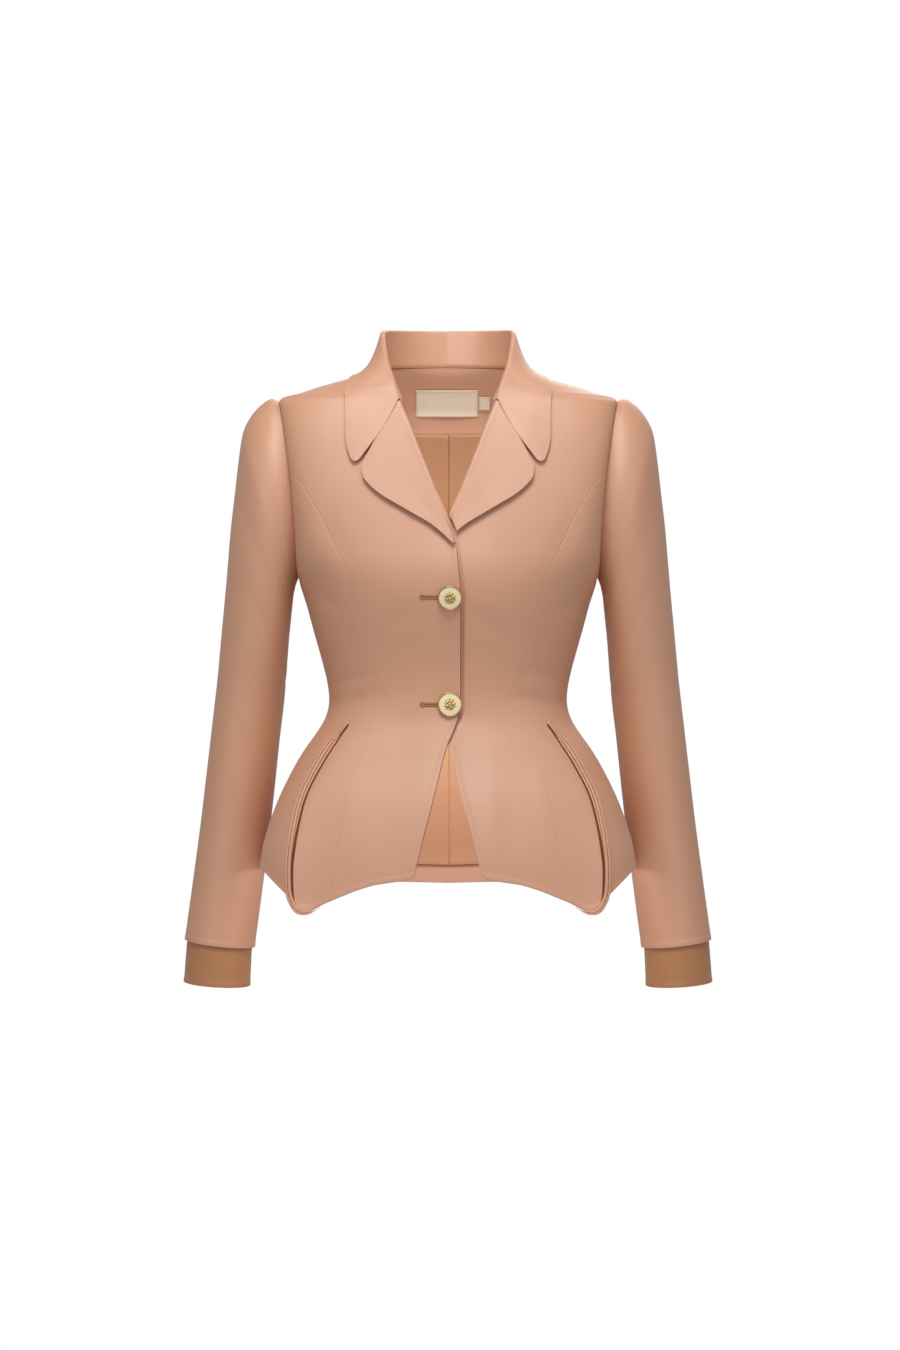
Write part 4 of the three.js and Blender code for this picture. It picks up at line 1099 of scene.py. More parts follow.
def make_sleeves():
    for hand, side in HANDS:
        for piece, start, end, columns in (
            ("upper_sleeve", SLEEVE_BACK_SEAM - 360, SLEEVE_FRONT_SEAM, 76),
            ("under_sleeve", SLEEVE_FRONT_SEAM, SLEEVE_BACK_SEAM, 30),
        ):
            fine = fine_tube(SLEEVE, side, start, end, ("seam", "seam", "seam", "turned"), columns, 190)
            outer, inner = tube_faces(fine)
            # The turned-in hem takes the suiting lightened as painted light.
            slots = np.where(row_means(fine.distances[3]) < HEM_TURNED, OWN_CLOTH_PAINTED_LIGHT, LINED)
            name = f"{piece}_{hand}"
            obj = shell(f"{name}_cloth", outer, inner, PANEL_CLOTHS[:3], panel_uv(fine), slots)
            dress(obj, name)


make_sleeves()

CUFF_SEAM = 205  # the angle round the sleeve of the cuff's own seam


def make_cuffs():
    for hand, side in HANDS:
        fine = fine_tube(CUFF, side, CUFF_SEAM - 360, CUFF_SEAM, ("seam", "seam", "plain", "turned"), 110, 30)
        outer, inner = tube_faces(fine)
        obj = shell(f"cuff_{hand}_cloth", outer, inner, [CUFF_CLOTH], panel_uv(fine))
        dress(obj, f"cuff_{hand}")


make_cuffs()


# Collar

COLLAR_ROWS = [
    # share, seam angle, seam level, fold x, fold y, fold z, edge out, edge level
    (0, 0, 79, 0, 64.5, 45, 0, 46),
    (0.15, 27, 79, 29.5, 58.5, 44.6, 40, 45.5),
    (0.3, 50, 79, 54, 41, 43, 73, 46),
    (0.42, 72, 79, 66, 18, 40.5, 90.5, 49.5),
    (0.52, 90, 79, 69.2, -2, 36.5, 99, 48.7),
    (0.62, 64, 73, 68.2, -19, 25.5, 104.8, 22),
    (0.72, 52, 58, 65.8, -36, 11, 107.3, -4),
    (0.82, 46, 22, 62, -51, -7, 108, -42),
    (0.92, 44, -22, 55.6, -67.5, -26, 107, -84),
    (1, 38, -43, 51, -77, -42.5, 98, -117),
]
COLLAR_LIFT = table(
    ["share", "lift"], [[0, 3.2], [0.35, 2.6], [0.52, 2.0], [0.65, 2.6], [0.8, 3.7], [1, 3.9]]
)
SHOULDER_SHARE = 0.52
FOLD_WIDTH = 3.4
COLLAR_CLOTH = 2.0
FALL_HOLLOW = 2.7
STAND_RISE = 0.5
STAND_INSET = 2.8
END_BOW = 31.0  # how the collar's front end bends down along the gorge, most at a third of its length
END_BOW_FROM = 0.85
COLLAR_EASE_FROM, COLLAR_EASE_FADE = 0.7, 0.2  # past this share the collar's own curve is kept
RIGHT_FRONT = face_of(-1, False)
RIGHT_BACK = face_of(-1, True)


def collar_table():
    """The collar's guide, with its places on the body as a turn, from 0 at the centre front
    to 180 at the centre back."""
    rows = []
    for share, seam, seam_level, x, y, z, edge_out, edge_level in COLLAR_ROWS:
        if share < SHOULDER_SHARE:
            seam_turn = 180 - seam
            edge_turn = 180 - float(angle_at(RIGHT_BACK, edge_out, edge_level))
        else:
            seam_turn = float(angle_at(RIGHT_FRONT, FRONT_EDGE(seam_level).out, seam_level))
            edge_turn = float(angle_at(RIGHT_FRONT, edge_out, edge_level))
        rows.append([share, seam_turn, seam_level, x, y, z, edge_turn, edge_level])
    return table(
        ["share", "seam_turn", "seam_level", "fold_x", "fold_y", "fold_z", "edge_turn", "edge_level"], rows
    )


COLLAR = collar_table()


def turn_point(turn, level):
    """A point of the right half of the body by its turn from the centre front, and its normal."""
    front = turn <= 90
    angle = np.where(front, turn, 180 - turn)
    points = [body_point(face, angle, level) for face in (RIGHT_FRONT, RIGHT_BACK)]
    normals = [body_normal(face, angle, level) for face in (RIGHT_FRONT, RIGHT_BACK)]
    pick = np.broadcast_to(front, angle.shape)[..., None]
    return np.where(pick, *points), np.where(pick, *normals)


def collar_middle(share, place):
    """A point on the middle of the collar's cloth. place runs from 0 to 1 up the stand, to 2 over the fold,
    and to 3 down the fall to the edge."""
    row = COLLAR(share)
    fold = np.stack([-row.fold_x, row.fold_y, row.fold_z], axis=-1)
    seam_point, seam_normal = turn_point(row.seam_turn, row.seam_level)
    edge_point, _ = turn_point(row.edge_turn, row.edge_level)
    outward = unit(np.stack([fold[..., 0], fold[..., 1] + 5, np.zeros(share.shape)], axis=-1))
    up = unit(fold - seam_point + 0.3 * (fold - edge_point))

    back_start = seam_point - seam_normal
    back_start[..., 2] = seam_point[..., 2] + STAND_RISE
    inner = angle_at(RIGHT_FRONT, FRONT_EDGE(row.seam_level).out - STAND_INSET, row.seam_level)
    front_start = lifted_point(RIGHT_FRONT, inner, row.seam_level, -0.6, creased=False)
    past = smooth((share - SHOULDER_SHARE) / 0.1)[..., None]
    start = lerp(back_start, front_start, past)

    stand = lerp(start, fold, np.clip(place, 0, 1)[..., None])
    turned = np.radians(180 * np.clip(place - 1, 0, 1))[..., None]
    bend = outward * (1 - np.cos(turned)) + up * np.sin(turned)
    bend = fold + bend * FOLD_WIDTH / 2
    t = np.clip(place - 2, 0, 1)
    bow = END_BOW * t * (1 - t) ** 2 * smooth((share - END_BOW_FROM) / (1 - END_BOW_FROM))
    on_body, normal = turn_point(
        lerp(row.seam_turn, row.edge_turn, t), lerp(row.seam_level, row.edge_level, t) - bow
    )
    lifted = normal * COLLAR_LIFT(share).lift[..., None]
    offset = lerp(outward * FOLD_WIDTH, lifted, smooth(t * 1.6)[..., None])
    fall = on_body + (fold - seam_point) * ((1 - t) ** FALL_HOLLOW)[..., None] + offset
    whole = np.where((place <= 1)[..., None], stand, bend)
    return np.where((place > 2)[..., None], fall, whole)


TIP_RADIUS = 12.0
COLLAR_TIP_PLACE = 60.0  # the fall's length at the collar's end
COLLAR_TIP_SHARE = 370.0  # the edge's length for a whole share, at the collar's end


def rounded_corner(a, b, radius):
    """Distances in from two edges, moved so that the corner between them is round."""
    p, q = np.clip(1 - a / radius, 0, 1), np.clip(1 - b / radius, 0, 1)
    near = (p > 0) & (q > 0)
    round_a = radius * (1 - p * np.sqrt(1 - q * q / 2))
    round_b = radius * (1 - q * np.sqrt(1 - p * p / 2))
    return np.where(near, round_a, a), np.where(near, round_b, b)


def smoothed(grid, axis, passes):
    """A grid of points eased along one axis, with its ends kept."""
    grid = np.moveaxis(grid.copy(), axis, 0)
    for _ in range(passes):
        grid[1:-1] = 0.25 * grid[:-2] + 0.5 * grid[1:-1] + 0.25 * grid[2:]
    return np.moveaxis(grid, 0, axis)


def sheet_faces(middle, cloth, from_edge, from_end, side=1):
    """The two faces of a sheet about its middle, rounded towards two of its edges."""
    normals = unit(np.cross(np.gradient(middle, axis=0), np.gradient(middle, axis=1))) * side
    rounding = np.minimum(edge_shape("turned", from_edge)[0], edge_shape("turned", from_end)[0])
    thick = np.maximum(cloth / 2 + rounding, MIN_WALL)[..., None]
    return middle + normals * thick, middle - normals * thick


def make_collar():
    tip_steps = np.array([0, 0.3, 0.8, 1.6, 2.6, 3.8, 5.2, 6.6, 8.2, 10.0, 12.0, 14.0])
    end_shares = (1 - tip_steps / COLLAR_TIP_SHARE)[::-1]
    shares = np.concatenate([np.linspace(0, end_shares[0], 86)[:-1], end_shares])
    edge_places = (3 - tip_steps / COLLAR_TIP_PLACE)[::-1]
    stand, fold = np.linspace(0, 1, 9)[:-1], np.linspace(1, 2, 13)[:-1]
    places = np.concatenate([stand, fold, np.linspace(2, edge_places[0], 28)[:-1], edge_places])
    share, place = np.meshgrid(shares, places, indexing="ij")
    from_end, from_edge = rounded_corner(
        (1 - share) * COLLAR_TIP_SHARE, (3 - place) * COLLAR_TIP_PLACE, TIP_RADIUS
    )
    on_fall = place > 2
    share = np.where(on_fall, 1 - from_end / COLLAR_TIP_SHARE, share)
    place = np.where(on_fall, 3 - from_edge / COLLAR_TIP_PLACE, place)
    half = collar_middle(share, place)
    eased_part = 1 - smooth((shares - COLLAR_EASE_FROM) / COLLAR_EASE_FADE)[:, None, None]
    half = lerp(half, smoothed(half, 0, 16), eased_part)
    middle = np.concatenate([half[::-1], half[1:] * np.array([-1, 1, 1])])
    from_edge = np.concatenate([from_edge[::-1], from_edge[1:]])
    from_end = np.concatenate([from_end[::-1], from_end[1:]])
    outer, inner = sheet_faces(middle, COLLAR_CLOTH, from_edge, from_end)
    run, down = run_along(middle[:, -1]), run_along(middle[len(middle) // 2])
    obj = shell("collar_cloth", outer, inner, [SUITING], grid_of(run[:, None], down))
    dress(obj, "collar")


make_collar()


# Lapels: each rolls over from the front's edge and lies on the front

LAPEL_EDGE = table(
    ["share", "out", "level"],
    [
        [0, -5.5, -197], [0.13, 5.3, -186.5], [0.26, 18, -176], [0.42, 35.4, -165.5],
        [0.58, 52, -155.5], [0.74, 69.2, -145], [0.88, 82, -134], [0.96, 89, -124.5],
        [1, 91, -115.5],
    ],
)
LAPEL_TIP_OUT, LAPEL_TIP_LEVEL = 91, -115.5
GORGE_OUT = table(["share", "out"], [[0, 0], [0.55, 0.535], [0.75, 0.745], [1, 1]])  # of the way to the tip
# How far the lapel's top lies below the collar's end: sewn to it first, then a notch that opens
GORGE_DROP = table(["share", "drop"], [[0, 0.5], [0.5, 0.5], [0.6, 1.3], [0.78, 5.4], [1, 11.2]])
LAPEL_LIFTS = table(["share", "lift"], [[0, 3.2], [0.2, 4.6], [0.5, 5], [1, 5.2]])
GORGE_SHIFT = 1.6  # how much nearer the centre the lapel's roll is at the gorge, to meet the collar's fold
GORGE_SHIFT_FROM, GORGE_SHIFT_FADE = -95, 50
LAPEL_EDGE_RISE = 1.2  # how much further the lapel's free edge stands off the front
UNDER_LAPEL_START = 0.17
UNDER_LAPEL_GAP = 0.9
LAPEL_TIP = 5.0
LAPEL_TOP_LENGTH = 79.0  # along the gorge
LAPEL_EDGE_LENGTH = 55.0  # of a whole share, near the tip
FAR = 99  # a distance at which no edge shapes the cloth
UV_COLUMN = 20  # the column of a lapel that its length is measured along


def gorge_line():
    """The level of the collar's front end at each distance out."""
    place = np.linspace(2.02, 3, 80)
    points = collar_middle(np.ones(len(place)), place)
    return lambda out: np.interp(out, -points[:, 0], points[:, 2])


def make_lapel(hand, side):
    face = face_of(side, False)
    start = UNDER_LAPEL_START if side > 0 else 0
    gorge = gorge_line()
    tip = np.array([0, 0.2, 0.6, 1.2, 2.2, 3.5, 5.0, 7.0])
    rows_near_top = 1 - tip / LAPEL_EDGE_LENGTH
    rows = np.concatenate([np.linspace(start, rows_near_top[-1], 74)[:-1], rows_near_top[::-1]])
    columns_near_edge = 1 - tip / LAPEL_TOP_LENGTH
    columns = np.concatenate([np.linspace(0, columns_near_edge[-1], 40)[:-1], columns_near_edge[::-1]])
    t, s = np.meshgrid(rows, columns, indexing="ij")
    from_top, from_edge = rounded_corner(
        (1 - t) * LAPEL_EDGE_LENGTH, (1 - s) * LAPEL_TOP_LENGTH, LAPEL_TIP
    )
    t, s = 1 - from_top / LAPEL_EDGE_LENGTH, 1 - from_edge / LAPEL_TOP_LENGTH
    gorge_radius = float(ROLL_RADIUS(GORGE_LEVEL).radius)
    gorge_start = float(FRONT_EDGE(GORGE_LEVEL).out) + gorge_radius + CLOTH / 2
    top_level = float(gorge(gorge_start) - GORGE_DROP(0).drop)
    roll_level = lerp(ROLL_FROM, top_level, t)
    shift = GORGE_SHIFT * smooth((roll_level - GORGE_SHIFT_FROM) / GORGE_SHIFT_FADE)
    edge_out = FRONT_EDGE(roll_level).out - shift
    roll_out = np.maximum(edge_out, UNDER_LAPEL_GAP - edge_out) if side > 0 else edge_out
    radius = ROLL_RADIUS(roll_level).radius
    centre = roll_out + radius + CLOTH / 2
    edge = LAPEL_EDGE(t)
    top_out = lerp(gorge_start, LAPEL_TIP_OUT, GORGE_OUT(s).out)
    top_bend = gorge(top_out) - GORGE_DROP(s).drop - lerp(top_level, LAPEL_TIP_LEVEL, s)
    out = lerp(centre, edge.out, s) + (top_out - lerp(gorge_start, LAPEL_TIP_OUT, s)) * t * t
    level = lerp(roll_level, edge.level, s) + top_bend * t * t
    rolled_lift = 2 * radius - CLOTH / 2
    lift = lerp(rolled_lift, LAPEL_LIFTS(s).lift - CLOTH / 2, smooth(s * 5))
    lift = lift + LAPEL_EDGE_RISE * smooth((s - 0.5) / 0.5) * (1 - 0.5 * t**4)

    turned = np.radians(np.linspace(-90, 90, 15)[:-1])
    roll_level = np.broadcast_to(lerp(ROLL_FROM, top_level, rows[:, None]), (len(rows), len(turned)))
    roll_x = centre[:, :1] - radius[:, :1] * np.cos(turned)
    roll_lift = -CLOTH / 2 + radius[:, :1] * (1 + np.sin(turned))
    out = np.concatenate([roll_x, out], axis=1)
    level = np.concatenate([roll_level, level], axis=1)
    lift = np.concatenate([roll_lift, lift], axis=1)
    angle = angle_at(face, out, level)
    middle = lifted_point(face, angle, level, lift, creased=False)
    far = np.full(roll_x.shape, FAR)
    from_edge, from_top = (np.concatenate([far, distance], axis=1) for distance in (from_edge, from_top))
    outer, inner = sheet_faces(middle, CLOTH, from_edge, from_top, side)
    uv = grid_of(run_along(middle[-1]), run_along(middle[:, UV_COLUMN])[:, None])
    obj = shell(f"lapel_{hand}_cloth", outer, inner, [SUITING], uv)
    dress(obj, f"lapel_{hand}")


for hand_name, hand_side in HANDS:
    make_lapel(hand_name, hand_side)


# Hip ridges: two corded ridges that follow the hip crease and wrap round the hem's corner

RIDGES = {
    "inner": SimpleNamespace(offset=3.6, width=3.3, height=3.7),
    "outer": SimpleNamespace(offset=6.7, width=3.0, height=3.2),
}
RIDGE_TOP = -384
RIDGE_CLOSING = 1.1  # how much nearer to the hip crease the ridges are at the hem
RIDGE_CLOSING_FROM, RIDGE_CLOSING_FADE = -535, 60
RIDGE_TAPER = 34
RIDGE_SIDES = 14
RIDGE_ROUNDNESS = 0.7  # 1 would be an oval, and less is squarer
RIDGE_CORNER = -562
RIDGE_HEM = (155.5, 132)  # the distances out between which it follows the hem
RIDGE_ABOVE_HEM = 0.9


def ribbon(name, centres, across, up, widths, heights):
    """A rounded ribbon along a line, with its ends drawn to a point."""
    turn = np.linspace(0, 2 * np.pi, RIDGE_SIDES, endpoint=False)
    flat, tall = (np.sign(way) * np.abs(way) ** RIDGE_ROUNDNESS for way in (np.cos(turn), np.sin(turn)))
    rings = centres[:, None] + across[:, None] * (flat[None, :] * widths[:, None] / 2)[..., None]
    rings = rings + up[:, None] * (tall[None, :] * heights[:, None] / 2)[..., None]
    points, faces = capped_tube(rings, centres[0], centres[-1])
    run = run_along(centres)
    around = np.arange(RIDGE_SIDES) * widths.max() * 2.6 / RIDGE_SIDES
    uv = np.concatenate([grid_of(around, run[:, None]).reshape(-1, 2), [[0, run[0]], [0, run[-1]]]])
    obj = mesh_object(name, points, faces, [SUITING], uvs=uv)
    return obj, np.concatenate([rings, rings[:, :1]], axis=1)


def crease_path():
    """The hip crease's line down to the hem's corner, then back along the hem, as out and level."""
    down = np.linspace(RIDGE_TOP, RIDGE_CORNER, 90)
    hem_out = np.linspace(*RIDGE_HEM, 30)
    line = grid_of(HIP_CREASE(down).out, down)
    hem = grid_of(hem_out, FRONT_HEM(hem_out).level + RIDGE_ABOVE_HEM)
    return smoothed(np.concatenate([line, hem]), 0, 6)


def make_ridge(hand, side, kind):
    size = RIDGES[kind]
    face = face_of(side, False)
    path = crease_path()
    run = run_along(path)
    grown = 0.3 + 0.7 * smooth(run / RIDGE_TAPER)
    ending = smooth((run[-1] - run) / 24)
    direction = unit(np.gradient(path, axis=0))
    outward = np.stack([-direction[:, 1], direction[:, 0]], axis=-1)
    closing = RIDGE_CLOSING * (1 - smooth((path[:, 1] - RIDGE_CLOSING_FROM) / RIDGE_CLOSING_FADE))
    offset = (size.offset - closing) * grown * (0.45 + 0.55 * smooth((run[-1] - run) / 40))
    flat = path + outward * offset[:, None]
    angle, level = angle_at(face, flat[:, 0], flat[:, 1]), flat[:, 1]
    height, width = (whole * grown * (0.12 + 0.88 * ending) for whole in (size.height, size.width))
    centres = lifted_point(face, angle, level, height * 0.35 - 0.6 * (1 - ending))
    up = body_normal(face, angle, level)
    along = unit(np.gradient(centres, axis=0))
    across = unit(np.cross(along, up))
    name = f"hip_ridge_{kind}_{hand}"
    obj, rings = ribbon(f"{name}_cloth", centres, across, up, width, height)
    dress(obj, name)


for hand_name, hand_side in HANDS:
    for ridge_kind in RIDGES:
        make_ridge(hand_name, hand_side, ridge_kind)


# Inside of the neck and back: facing, lining and two blank labels

INSIDE_LIFT = -(CLOTH + 0.4)
FACING_ROW = 24
FACING_SHARE = 4 / 7
FACING_LEVEL = -63
FACING_FADE = 8
FACING_RISE = 1.5  # over the neck seam, up to the collar's stand
FACING_RISE_REACH = 3
FACING_SEAM_ROUND = 1.4  # how far the neck seam's rounding is set in
PLEAT_LIFT = 2.6
PLEAT_WIDTH = 11
HEM_LIFT = 3.2  # how far the lining's lower edge hangs off the hem
HEM_SHADE = 1.3  # how far up the painted shade at the lining's lower edge reaches


def straight_joint_map(side):
    """The back's map with the row between the lining and the facing drawn level."""
    whole = back_map(side)

    def at(row, share):
        place = whole(row, share)
        joint = whole(np.full_like(row, FACING_ROW), share)[..., 1]
        fade = np.maximum(0, 1 - np.abs(row - FACING_ROW) / FACING_FADE) ** 2
        fade = fade * (1 - smooth((share - FACING_SHARE) / (1 - FACING_SHARE)))
        place[..., 1] += (FACING_LEVEL - joint) * fade
        return place

    return at


def make_facing():
    halves = []
    for side in (-1, 1):
        edges = ("plain", "plain", "turned", "seam")
        face, at = face_of(side, True), straight_joint_map(side)
        fine = fine_panel(face, at, TALL_ROWS, edges, 36, 44, from_row=FACING_ROW, shares=(0, FACING_SHARE))
        lip, _ = edge_shape("turned", fine.distances[2])
        drop, _ = edge_shape("seam", fine.distances[3] - FACING_SEAM_ROUND)
        inner_lift = INSIDE_LIFT - LINING - lip * 0.8 - drop * 0.5
        outer_lift = np.full(inner_lift.shape, INSIDE_LIFT)
        rise = FACING_RISE * np.exp(-((fine.distances[3] / FACING_RISE_REACH) ** 2))
        raised = rise[..., None] * np.array([0, 0, 1])
        faces = (lifted_point(face, fine.angle, fine.level, lift) for lift in (outer_lift, inner_lift))
        halves.append([points + raised for points in faces])
    right, left = halves
    outer, inner = (np.concatenate([right[k][:, :0:-1], left[k]], axis=1) for k in (0, 1))
    uv = grid_of(run_along(outer[0]), run_along(outer[:, 5])[:, None])
    # The facing is the suiting lightened as painted light.
    obj = shell("back_neck_facing_cloth", outer, inner, [SUITING_INSIDE_PAINTED_LIGHT], uv)
    dress(obj, "back_neck_facing")


PLEAT_TOP, PLEAT_FADE = -62, 5
WAVE_FROM, WAVE_FADE = -330, 90  # above this level the lining waves a little
HEM_LIFT_REACH = 14


def make_lining():
    for hand, side in HANDS:
        face = face_of(side, True)
        edges = ("turned" if side < 0 else "plain", "plain", "turned", "plain")
        fine = fine_panel(face, straight_joint_map(side), FACING_ROW, edges, 36, 150, from_row=1)
        from_centre, _, from_hem, _ = fine.distances
        pleat = PLEAT_LIFT * np.exp(-((from_centre / PLEAT_WIDTH) ** 2))
        below = smooth((PLEAT_TOP - fine.level) / PLEAT_FADE) * smooth((fine.level - WAVE_FROM) / WAVE_FADE)
        wave = 0.5 * np.sin(from_centre / 9 + fine.level / 60) * smooth(from_centre / 20)
        move = (pleat if side < 0 else 0.1 * pleat) * below + wave * below
        move = move + HEM_LIFT * np.exp(-((from_hem / HEM_LIFT_REACH) ** 2))
        inner_lift = INSIDE_LIFT - LINING - move
        outer_lift = np.full(inner_lift.shape, INSIDE_LIFT)
        rounding, _ = edge_shape("turned", from_hem)
        inner_lift = np.minimum(inner_lift - rounding * 0.8, outer_lift - 0.2)
        outer, inner = (lifted_point(face, fine.angle, fine.level, lift) for lift in (outer_lift, inner_lift))
        # A strip of painted shade along the lining's lower edge, where it hangs off the hem.
        slots = np.where(row_means(from_hem) < HEM_SHADE, 1, 0)
        name = f"back_lining_{hand}"
        obj = shell(f"{name}_cloth", outer, inner, [LINING_CLOTH, SUITING_PAINTED_SHADE], panel_uv(fine), slots)
        dress(obj, name)


make_facing()
make_lining()

LABELS = {
    "label": SimpleNamespace(width=70, height=29.5, x=-1, z=-29, columns=60, rows=30),
    "size_tab": SimpleNamespace(width=13, height=14.5, x=41, z=-28.5, columns=16, rows=18),
}
LABEL_WALL = 0.8
LABEL_GAP = 1.0
LABEL_BORDER = 2.2  # of the thread's material at the edges
LABEL_HUMP = 0.5
STITCH_RIDGE, STITCH_FROM_EDGE, STITCH_WIDTH = 0.35, 1.3, 0.6


def level_of_height(height):
    low, high = np.full(height.shape, float(ARMHOLE_BOTTOM)), np.full(height.shape, float(NECK_LEVEL))
    for _ in range(30):
        middle = (low + high) / 2
        ring = RING(middle)
        under = ring.z + ring.rise < height
        low, high = np.where(under, middle, low), np.where(under, high, middle)
    return (low + high) / 2


def make_label(name):
    size = LABELS[name]
    border = np.array([0, 0.2, 0.5, 1.0, 1.8, 2.6, 3.2])
    along = stations(size.width, border, border, size.columns)
    up = stations(size.height, border, border, size.rows)
    edge_x = np.minimum(along, size.width - along)
    edge_z = np.minimum(up, size.height - up)
    x, z = size.x + along - size.width / 2, size.z + up - size.height / 2
    grid_z, grid_x = np.meshgrid(z, x, indexing="ij")
    from_edge = np.minimum(edge_z[:, None], edge_x[None, :])
    level = level_of_height(grid_z)
    side = np.where(grid_x < 0, -1, 1)
    face = face_of(side, True)
    angle = angle_at(face, np.abs(grid_x), level)
    points = body_point(face, angle, level)
    normal = body_normal(face, angle, level)
    border_ridge = STITCH_RIDGE * np.exp(-(((from_edge - STITCH_FROM_EDGE) / STITCH_WIDTH) ** 2))
    rounding = np.minimum(edge_shape("turned", from_edge)[0] - EDGE_STEP, 0) * 0.5
    hump = LABEL_HUMP * np.cos(np.pi * (grid_x - size.x) / size.width)
    base = INSIDE_LIFT - LINING - LABEL_GAP
    outer = points + normal * (base - hump)[..., None]
    inner = points + normal * (base - hump - LABEL_WALL - border_ridge - rounding)[..., None]
    slots = np.where(square_means(from_edge) < LABEL_BORDER, 1, 0)
    uv = grid_of(grid_x, grid_z)
    obj = shell(f"{name}_cloth", outer, inner, [LABEL_CLOTH, LABEL_THREAD], uv, slots)
    dress(obj, name)


for label_name in LABELS:
    make_label(label_name)


# Buttons: a gold rim round a cream dome with a generic rosette in relief, and a thread shank

BUTTON_CLEARANCE = 1.6


def lathe(profile, count=64):
    """Points and faces of a turned shape whose profile starts and ends on the axis, about +Z."""
    profile = np.array(profile, float)
    turn = np.linspace(0, 2 * np.pi, count, endpoint=False)
    out, height = profile[1:-1, None, 0], profile[1:-1, None, 1]
    rings = np.stack(np.broadcast_arrays(out * np.cos(turn), out * np.sin(turn), height), axis=-1)
    return capped_tube(rings, [0, 0, profile[0, 1]], [0, 0, profile[-1, 1]])


def arc(centre, radius, start, end, count):
    turn = np.radians(np.linspace(start, end, count))
    return [(centre[0] + radius * math.cos(a), centre[1] + radius * math.sin(a)) for a in turn]


def ball(centre, size, turn=0.0, count=14):
    """Points and faces of an ellipsoid, turned about +Z."""
    shape = [(math.sin(a), -math.cos(a)) for a in np.linspace(0, math.pi, count // 2 + 2)]
    points, faces = lathe(shape, count)
    points = points * np.array(size)
    c, s = math.cos(turn), math.sin(turn)
    points = points @ np.array([[c, s, 0], [-s, c, 0], [0, 0, 1]])
    return points + np.array(centre), faces


def joined(shapes):
    points, faces, start = [], [], 0
    for shape_points, shape_faces in shapes:
        points.append(shape_points)
        faces += [tuple(i + start for i in face) for face in shape_faces]
        start += len(shape_points)
    return np.concatenate(points), faces


def petals(count, radius, size, lift, offset=0.0):
    shapes = []
    for i in range(count):
        turn = 2 * math.pi * (i + offset) / count
        shapes.append(ball((radius * math.cos(turn), radius * math.sin(turn), lift), size, turn))
    return shapes


def rosette():
    """A generic rosette: five round petals over ten small leaves."""
    return joined(petals(5, 3.1, (2.1, 1.9, 0.9), 0.1) + petals(10, 5.3, (1.5, 0.8, 0.5), -0.2, 0.5))


def button_frame(level):
    angle = angle_at(RIGHT_FRONT, -BUTTON_X, level)
    seat = lifted_point(RIGHT_FRONT, angle, level, 0)
    normal = body_normal(RIGHT_FRONT, angle, level)
    return seat, normal


def make_button(name, level):
    seat, normal = button_frame(level)
    turn = np.array(Vector((0, 0, 1)).rotation_difference(Vector(normal)).to_matrix())
    radius, base = BUTTON_RADIUS, BUTTON_CLEARANCE

    def place(shape, lift=0.0):
        points, faces = shape
        return (points + np.array([0, 0, lift])) @ turn.T + seat, faces

    rim = [(0, base), (radius - 1.2, base)]
    rim += arc((radius - 1.2, base + 1.2), 1.2, -90, 0, 6)
    rim += arc((radius - 0.55, base + 2.7), 0.55, 0, 180, 10)
    rim += [(radius - 1.3, base + 2.2), (0, base + 2.2)]
    dome = [(0, base + 2.0), (radius - 1.25, base + 2.0), (radius - 1.15, base + 2.5)]
    for t in np.linspace(0.02, 0.96, 10):
        dome.append((radius * (1 - t) * 0.9, base + 2.6 + 0.75 * math.sin(t * math.pi / 2)))
    dome += [(0, base + 3.36)]
    ground = [(0, base + 3.0), (5.7, base + 3.0), (5.8, base + 3.24), (5.2, base + 3.42), (0, base + 3.5)]
    shank = [(0, -1.0), (1.3, -1.0), (1.1, 0.2), (1.25, base + 0.2), (0, base + 0.2)]
    for part, shape, lift, material in (
        ("rim", lathe(rim), 0.0, GOLD),
        ("dome", lathe(dome), 0.0, ENAMEL),
        ("rosette", rosette(), base + 3.3, GOLD),
        ("ground", lathe(ground), 0.0, PATINA),
        ("heart", ball((0, 0, 0), (1.5, 1.5, 1.0)), base + 3.9, PALE_GOLD),
        ("shank", lathe(shank, 20), 0.0, THREAD),
    ):
        obj = mesh_object(f"button_{name}_{part}", *place(shape, lift), [material])
        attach(obj, "root")
        if part == "rim":
            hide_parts(f"button_{name}")


for button_name, button_level in BUTTON_LEVELS.items():
    make_button(button_name, button_level)


# Buttonholes: a slot bound with thread, round at its outer end

HOLE_HALF_HEIGHT = 1.2
THREAD_RADIUS = 0.85
EYE_RADIUS = 1.9


def make_buttonhole(name, level):
    """Thread bars set round the slot's outline."""
    end_x = BUTTON_X + 3
    start_x = BUTTONHOLE_START_X + 1.6
    straight = np.arange(start_x + 1.4, end_x, 0.78)
    places = [(x, HOLE_HALF_HEIGHT, 90) for x in straight]
    places += [(x, -HOLE_HALF_HEIGHT, 90) for x in straight]
    for turn in np.linspace(60, 300, 15):
        radians = math.radians(turn)
        places.append((start_x + EYE_RADIUS * math.cos(radians), EYE_RADIUS * math.sin(radians), turn))
    places += [(end_x + 0.6, z, 0) for z in np.linspace(-HOLE_HALF_HEIGHT, HOLE_HALF_HEIGHT, 4)]
    points, faces = joined([on_front(x, level + z, turn) for x, z, turn in places])
    obj = mesh_object(f"buttonhole_{name}_thread", points, faces, [THREAD])
    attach(obj, "root")


